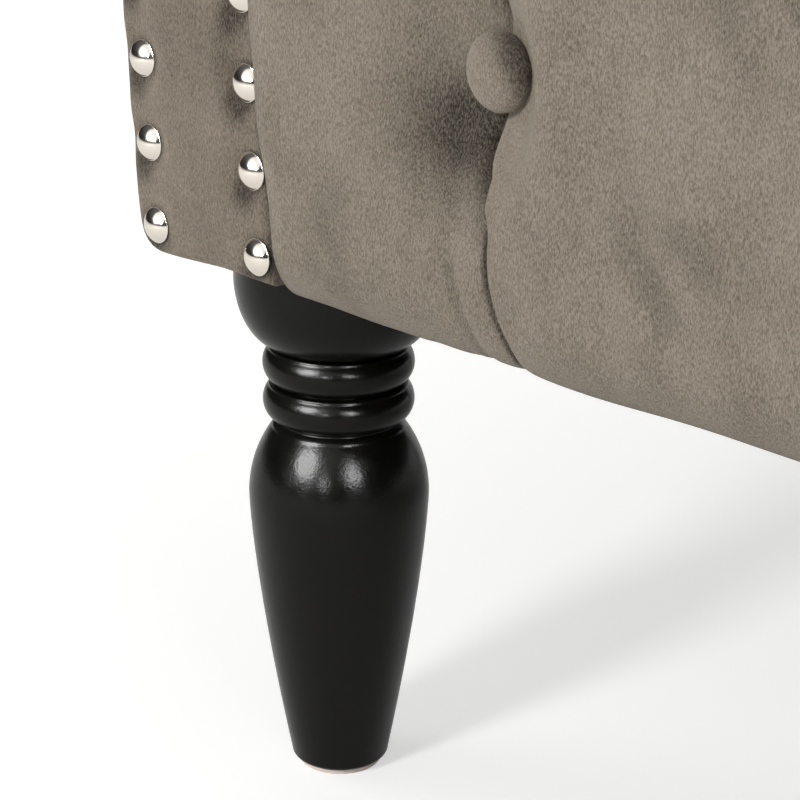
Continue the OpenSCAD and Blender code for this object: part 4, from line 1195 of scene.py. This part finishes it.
def swell_cover(points, faces, held):
    """The cover blown out by cloth simulation between its held points."""
    piece = make_mesh("cushion_trial", points, faces)
    pins = piece.vertex_groups.new(name="held")
    pins.add([int(i) for i in held], 1.0, "REPLACE")
    cloth = piece.modifiers.new("Cloth", "CLOTH")
    settings = cloth.settings
    settings.quality = 6
    settings.mass = 0.2
    settings.use_pressure = True
    settings.uniform_pressure_force = SWELL_PRESSURE
    settings.vertex_group_mass = "held"
    settings.shrink_min = -0.022
    settings.tension_stiffness = 12
    settings.compression_stiffness = 12
    settings.shear_stiffness = 6
    settings.bending_stiffness = 0.6
    settings.effector_weights.gravity = 0
    cloth.collision_settings.use_collision = False
    cloth.collision_settings.use_self_collision = False
    clock = bpy.context.scene
    for moment in range(1, SWELL_MOMENTS + 1):
        clock.frame_set(moment)
    shown = piece.evaluated_get(bpy.context.evaluated_depsgraph_get())
    moved = np.empty(len(points) * 3, np.float32)
    shown.data.vertices.foreach_get("co", moved)
    moved = moved.reshape(-1, 3) / MM
    clock.frame_set(1)
    bpy.data.objects.remove(piece, do_unlink=True)
    step = moved - points
    size = np.linalg.norm(step, axis=1)[:, None]
    return points + step * np.minimum(1, SWELL_MOST / np.maximum(size, 1e-6))


def welt(ring, r):
    """Piping round a closed seam."""
    way = np.roll(ring, -1, 0) - np.roll(ring, 1, 0)
    way /= np.linalg.norm(way, axis=1)[:, None]
    out = joined(way[:, 1], -way[:, 0], 0 * way[:, 0])
    up = np.cross(out, way)
    a = all_round(WELT_AROUND)
    tube = ring[:, None] + r * (out[:, None] * np.cos(a)[:, None] + up[:, None] * np.sin(a)[:, None])
    i, j = np.divmod(np.arange(len(ring) * WELT_AROUND), WELT_AROUND)
    row, row_after = i * WELT_AROUND, (i + 1) % len(ring) * WELT_AROUND
    j_after = (j + 1) % WELT_AROUND
    faces = joined(row + j, row_after + j, row_after + j_after, row + j_after)
    return tube.reshape(-1, 3), faces.tolist()


def cushions():
    points, faces, low_rim, top_rim = cushion_cover()
    n2 = (CUSHION_CELLS + 1) ** 2
    held = np.concatenate([top_rim, np.arange(n2, 2 * n2)])
    points = swell_cover(points, faces, held)
    limit_x, limit_y = CUSHION_HX - 0.4, CUSHION_HY - 0.4
    points[:, 0] = np.clip(points[:, 0], -limit_x, limit_x)
    points[:, 1] = np.clip(points[:, 1], -limit_y, limit_y - 0.2)
    points[:, 2] = np.clip(points[:, 2], 0, CUSHION_T + CUSHION_CROWN + 6)
    for side, name in SIDES:
        parts, part_faces = [points], list(faces)
        for ring in (points[low_rim], points[top_rim]):
            tube, tube_faces = welt(ring, WELT_R)
            first = sum(len(p) for p in parts)
            parts.append(tube)
            part_faces += [[i + first for i in f] for f in tube_faces]
        whole = np.concatenate(parts)
        if side < 0:
            whole[:, 0] *= -1
            part_faces = [f[::-1] for f in part_faces]
        whole = whole + np.array([side * CUSHION_CX, CUSHION_CY, CUSHION_LOW_Z])
        piece = make_mesh(f"seat_cushion_{name}", whole, part_faces)
        piece.modifiers.new("Subdivision", "SUBSURF").levels = 1
        piece.modifiers["Subdivision"].render_levels = 1
        dress(piece, "velvet_seat", [f"cushion_{name}"], f"cushion_{name}")


# Cloth under the frame and over the seat springs
def cut_sheet(name, xs, ys, height, keep, thick, material, node):
    """A flat sheet on a grid of xs and ys, with only the cells that keep says, at height(x, y)."""
    gx, gy = np.meshgrid(xs, ys)
    points = joined(gx, gy, height(gx, gy)).reshape(-1, 3)
    cols = len(xs)
    faces = [f for f in grid_faces(len(ys), cols) if keep(points[f].mean(0))]
    used = sorted({i for f in faces for i in f})
    number = {old: new for new, old in enumerate(used)}
    piece = make_mesh(name, points[used], [[number[i] for i in f] for f in faces])
    solid = piece.modifiers.new("Solidify", "SOLIDIFY")
    solid.thickness = thick * MM
    solid.offset = -1
    dress(piece, material, [node])
    return piece


def stops(*marks):
    """Even steps between marks, with every mark among them."""
    parts = []
    for a, b in zip(marks, marks[1:]):
        parts.append(np.linspace(a, b, max(2, int(abs(b - a) / SHEET_STEP)), endpoint=False))
    return np.concatenate(parts + [[marks[-1]]])


def dust_sheet():
    room, edge, thick = 2.0, 8.0, 1.2
    middle, side = LEG_X - CUP_R - room, HALF_RAIL + PANEL_W - edge
    y0, y1 = BOARD_Y + room, BACK_Y + PANEL_W - edge
    side_y0, side_y1 = FRONT_LEG_Y + CUP_R + room, BACK_LEG_Y - CUP_R - room

    def height(x, y):
        slack = np.clip(1 - (x / middle) ** 2, 0, 1)
        slack *= np.clip(1 - (2 * (y - y0) / (y1 - y0) - 1) ** 2, 0, 1)
        tacks = 0.6 * np.cos(2 * math.pi * x / 38) * np.exp(-(y - y0) / 16)
        sag = 2.6 * slack - 0.5 * slack * smooth_noise(x, y, 160, 71)
        return BASE_Z - GAP - sag - 0.3 - 0.3 * np.abs(tacks)

    def keep(p):
        return abs(p[0]) < middle or side_y0 < p[1] < side_y1

    piece = cut_sheet("dust_sheet", stops(-side, -middle, middle, side), stops(y0, side_y0, side_y1, y1),
                      height, keep, thick, "dust_cloth", "dust_cover")


def deck_sheet():
    def height(x, y):
        border = np.minimum(DECK_REACH - np.abs(x), np.minimum(y - DECK_FRONT_Y, DECK_BACK_Y - y))
        seam = 0.5 * bell((border - 45) / 1.6)
        return SEAT_Z - 0.1 - seam - 0.25 - 0.22 * smooth_noise(x, y, 120, 73)

    piece = cut_sheet("deck_sheet", stops(-DECK_REACH, DECK_REACH), stops(DECK_FRONT_Y, DECK_BACK_Y),
                      height, lambda p: True, FABRIC, "deck_cloth", "seat_deck_cover")


# Camera, light and floor, in metres
CAMERA_LENS = 103.5
CAMERA_PLACE = Vector((-0.1182, -0.8265, 0.4045))
# How far it turns to the left, looks down and tilts, in degrees
CAMERA_ANGLES = (46.0, 20.1, 0.32)
LIT_CORNER = (-0.5, -0.35, 0.25)
LIT_MIDDLE = (0.0, 0.0, 0.3)
# Each lamp's name, place, target, width, power in watts, and whether it lights matte surfaces or
# shines in the glossy ones
LAMPS = (
    ("front_softbox", (-0.55, -2.66, 1.38), LIT_CORNER, 0.55, 40, True),
    ("side_softbox", (1.7, -1.3, 1.1), LIT_CORNER, 0.42, 4.5, True),
    ("left_softbox", (-2.7, -1.5, 1.5), LIT_CORNER, 1.4, 13, True),
    ("top_softbox", (0.0, 0.2, 3.0), LIT_MIDDLE, 2.2, 24, True),
    ("front_glint", (-0.766, -2.66, 1.38), LIT_CORNER, 1.35, 160, False),
    ("side_glint", (1.7, -1.3, 1.3), LIT_CORNER, 0.95, 72, False),
    ("low_glint", (0.39, -2.39, 0.76), LIT_CORNER, 0.3, 10, False),
)
# Where the bright panel is that shiny surfaces mirror, seen from the sofa
PANEL_WAY = Vector((0.09, -0.81, 0.585)).normalized()
FLOOR_REACH = 9.0
# The floor's glow, and how far from the middle it starts to rise to white and ends
FLOOR_GLOW = 0.56
FLOOR_NEAR = 1.1
FLOOR_FAR = 3.6
MIRRORED_GLOW = 0.25


def camera():
    """The photograph's view: low and close, from in front of the middle, down at a corner."""
    data = bpy.data.cameras.new("camera")
    data.lens = CAMERA_LENS
    data.sensor_width = 36.0
    data.clip_start = 0.02
    made = add_object("camera", data)
    turn, pitch, roll = (math.radians(degrees) for degrees in CAMERA_ANGLES)
    level = Vector((-math.sin(turn), math.cos(turn), 0))
    ahead = level * math.cos(pitch) - Vector((0, 0, math.sin(pitch)))
    right = Vector((math.cos(turn), math.sin(turn), 0))
    up = right.cross(ahead)
    rolled_right = right * math.cos(roll) + up * math.sin(roll)
    rolled_up = up * math.cos(roll) - right * math.sin(roll)
    matrix = Matrix((rolled_right, rolled_up, -ahead)).transposed().to_4x4()
    matrix.translation = CAMERA_PLACE
    made.matrix_world = matrix
    bpy.context.scene.camera = made


def lamp(name, place, target, size, power, matte):
    data = bpy.data.lights.new(name, "AREA")
    data.shape = "DISK"
    data.size = size
    data.energy = power
    made = add_object(name, data)
    made.location = place
    way = Vector(target) - Vector(place)
    made.rotation_mode = "QUATERNION"
    made.rotation_quaternion = way.to_track_quat("-Z", "Y")
    made.visible_camera = False
    made.visible_diffuse = matte
    made.visible_glossy = not matte


def studio():
    """White to the camera, a dim room with a bright panel to shiny surfaces, and the lamps."""
    world = bpy.data.worlds.new("studio")
    bpy.context.scene.world = world
    world.use_nodes = True
    made = Nodes(world.node_tree)
    made.tree.nodes.clear()
    out = made.node("ShaderNodeOutputWorld")
    rays = made.node("ShaderNodeLightPath").outputs
    sky = made.node("ShaderNodeTexCoord").outputs["Generated"]
    parts = made.node("ShaderNodeSeparateXYZ")
    made.link(sky, parts.inputs["Vector"])
    up, back = parts.outputs["Z"], parts.outputs["Y"]

    def ramped(source, low, high):
        return made.ramp(source, low, high, kind="SMOOTHSTEP")

    def background(red, green, blue, strength=1.0):
        node = made.node("ShaderNodeBackground", Color=(red, green, blue, 1), Strength=strength)
        return node.outputs["Background"]

    wall = made.math("MULTIPLY", ramped(up, 0.4, 0.2), ramped(back, 0.3, 0.6))
    toward = made.node("ShaderNodeVectorMath", operation="DOT_PRODUCT")
    made.fill(toward.inputs, (sky, PANEL_WAY))
    bright = made.math("MULTIPLY", ramped(toward.outputs["Value"], 0.8, 0.88), ramped(up, 0.06, 0.1))
    white = background(1, 1, 1)
    dark, grey = background(0.02, 0.02, 0.021), background(0.12, 0.12, 0.12)
    room = made.mix_shaders(wall, made.mix_shaders(ramped(up, 0.1, 0.9), dark, grey), white)
    room = made.mix_shaders(bright, room, white)
    shown = background(1.0, 0.985, 0.96, 0.3)
    for kind, seen in (("Glossy", room), ("Transmission", room), ("Camera", white)):
        shown = made.mix_shaders(rays[f"Is {kind} Ray"], shown, seen)
    made.link(shown, out.inputs["Surface"])
    for settings in LAMPS:
        lamp(*settings)


def floor():
    """Pale paper that rises to white far from the sofa, as seen by the camera and in mirrors."""
    mesh = bpy.data.meshes.new("floor")
    corners = [(x * FLOOR_REACH, y * FLOOR_REACH, 0) for x, y in ((-1, -1), (1, -1), (1, 1), (-1, 1))]
    mesh.from_pydata(corners, [], [(0, 1, 2, 3)])
    made = Material("floor_paper", Roughness=1.0, Specular_IOR_Level=0.0)
    made.colour(made.noise(3, 2.0), (0.8, 0.8, 0.79, 1), (0.82, 0.82, 0.81, 1))
    rays = made.node("ShaderNodeLightPath").outputs
    away = made.node("ShaderNodeVectorMath", operation="LENGTH")
    made.link(made.node("ShaderNodeNewGeometry").outputs["Position"], away.inputs[0])
    rise = made.ramp(away.outputs["Value"], FLOOR_NEAR, FLOOR_FAR, FLOOR_GLOW, 1.0, "SMOOTHSTEP")
    direct = made.node("ShaderNodeEmission")
    made.link(rise, direct.inputs["Strength"])
    mirrored = made.node("ShaderNodeEmission", Strength=MIRRORED_GLOW)
    glow = made.mix_shaders(rays["Is Glossy Ray"], direct.outputs[0], mirrored.outputs[0])
    paper = made.node("ShaderNodeBsdfDiffuse", Color=(0.69, 0.69, 0.68, 1))
    shown = made.node("ShaderNodeAddShader")
    made.fill(shown.inputs, (paper.outputs["BSDF"], glow))
    seen = made.math("MAXIMUM", rays["Is Camera Ray"], rays["Is Glossy Ray"])
    seen = made.math("MAXIMUM", seen, rays["Is Transmission Ray"])
    final = made.mix_shaders(seen, made.shader.outputs["BSDF"], shown.outputs["Shader"])
    made.link(final, made.tree.nodes["Material Output"].inputs["Surface"])
    mesh.materials.append(made.made)
    add_object("floor", mesh)


def both(*names):
    return [f"{name}_{side}" for name in names for _, side in SIDES]


NODE_MATERIALS = {
    "timber": [
        "seat_front_board", "seat_back_board", "seat_centre_board", "corner_blocks", "back_posts",
        "back_bottom_rail", "back_top_rail",
        *both("seat_side_board", "arm_front_post", "arm_back_post", "arm_bottom_rail", "arm_top_rail",
              "panel_board"),
    ],
    "nylon_glide": ["leg_glides"],
    "zinc_steel": ["leg_bolts", "leg_nuts", "spring_clips"],
    "spring_steel": ["seat_springs"],
    "burlap": ["seat_burlap"],
    "webbing": ["back_webbing", "arm_webbing"],
    "foam": ["seat_deck_pad", "back_foam", *both("arm_foam", "cushion_core")],
    "zip_tape": both("cushion_zip"),
    "nickel_zip": both("zip_slider"),
}

camera()
for finish_name, node_names in NODE_MATERIALS.items():
    for node_name in node_names:
        dress_node(node_name, finish_name)
rail()
rail_buttons()
for x_way, side_name in SIDES:
    panel(x_way, side_name)
    arm_quilt(x_way, side_name)
for build in (back_quilt, quilt_buttons, outer_covers, legs, nailheads, cushions, dust_sheet, deck_sheet,
              floor, studio):
    build()

scene = bpy.context.scene
scene.view_settings.view_transform = "Standard"
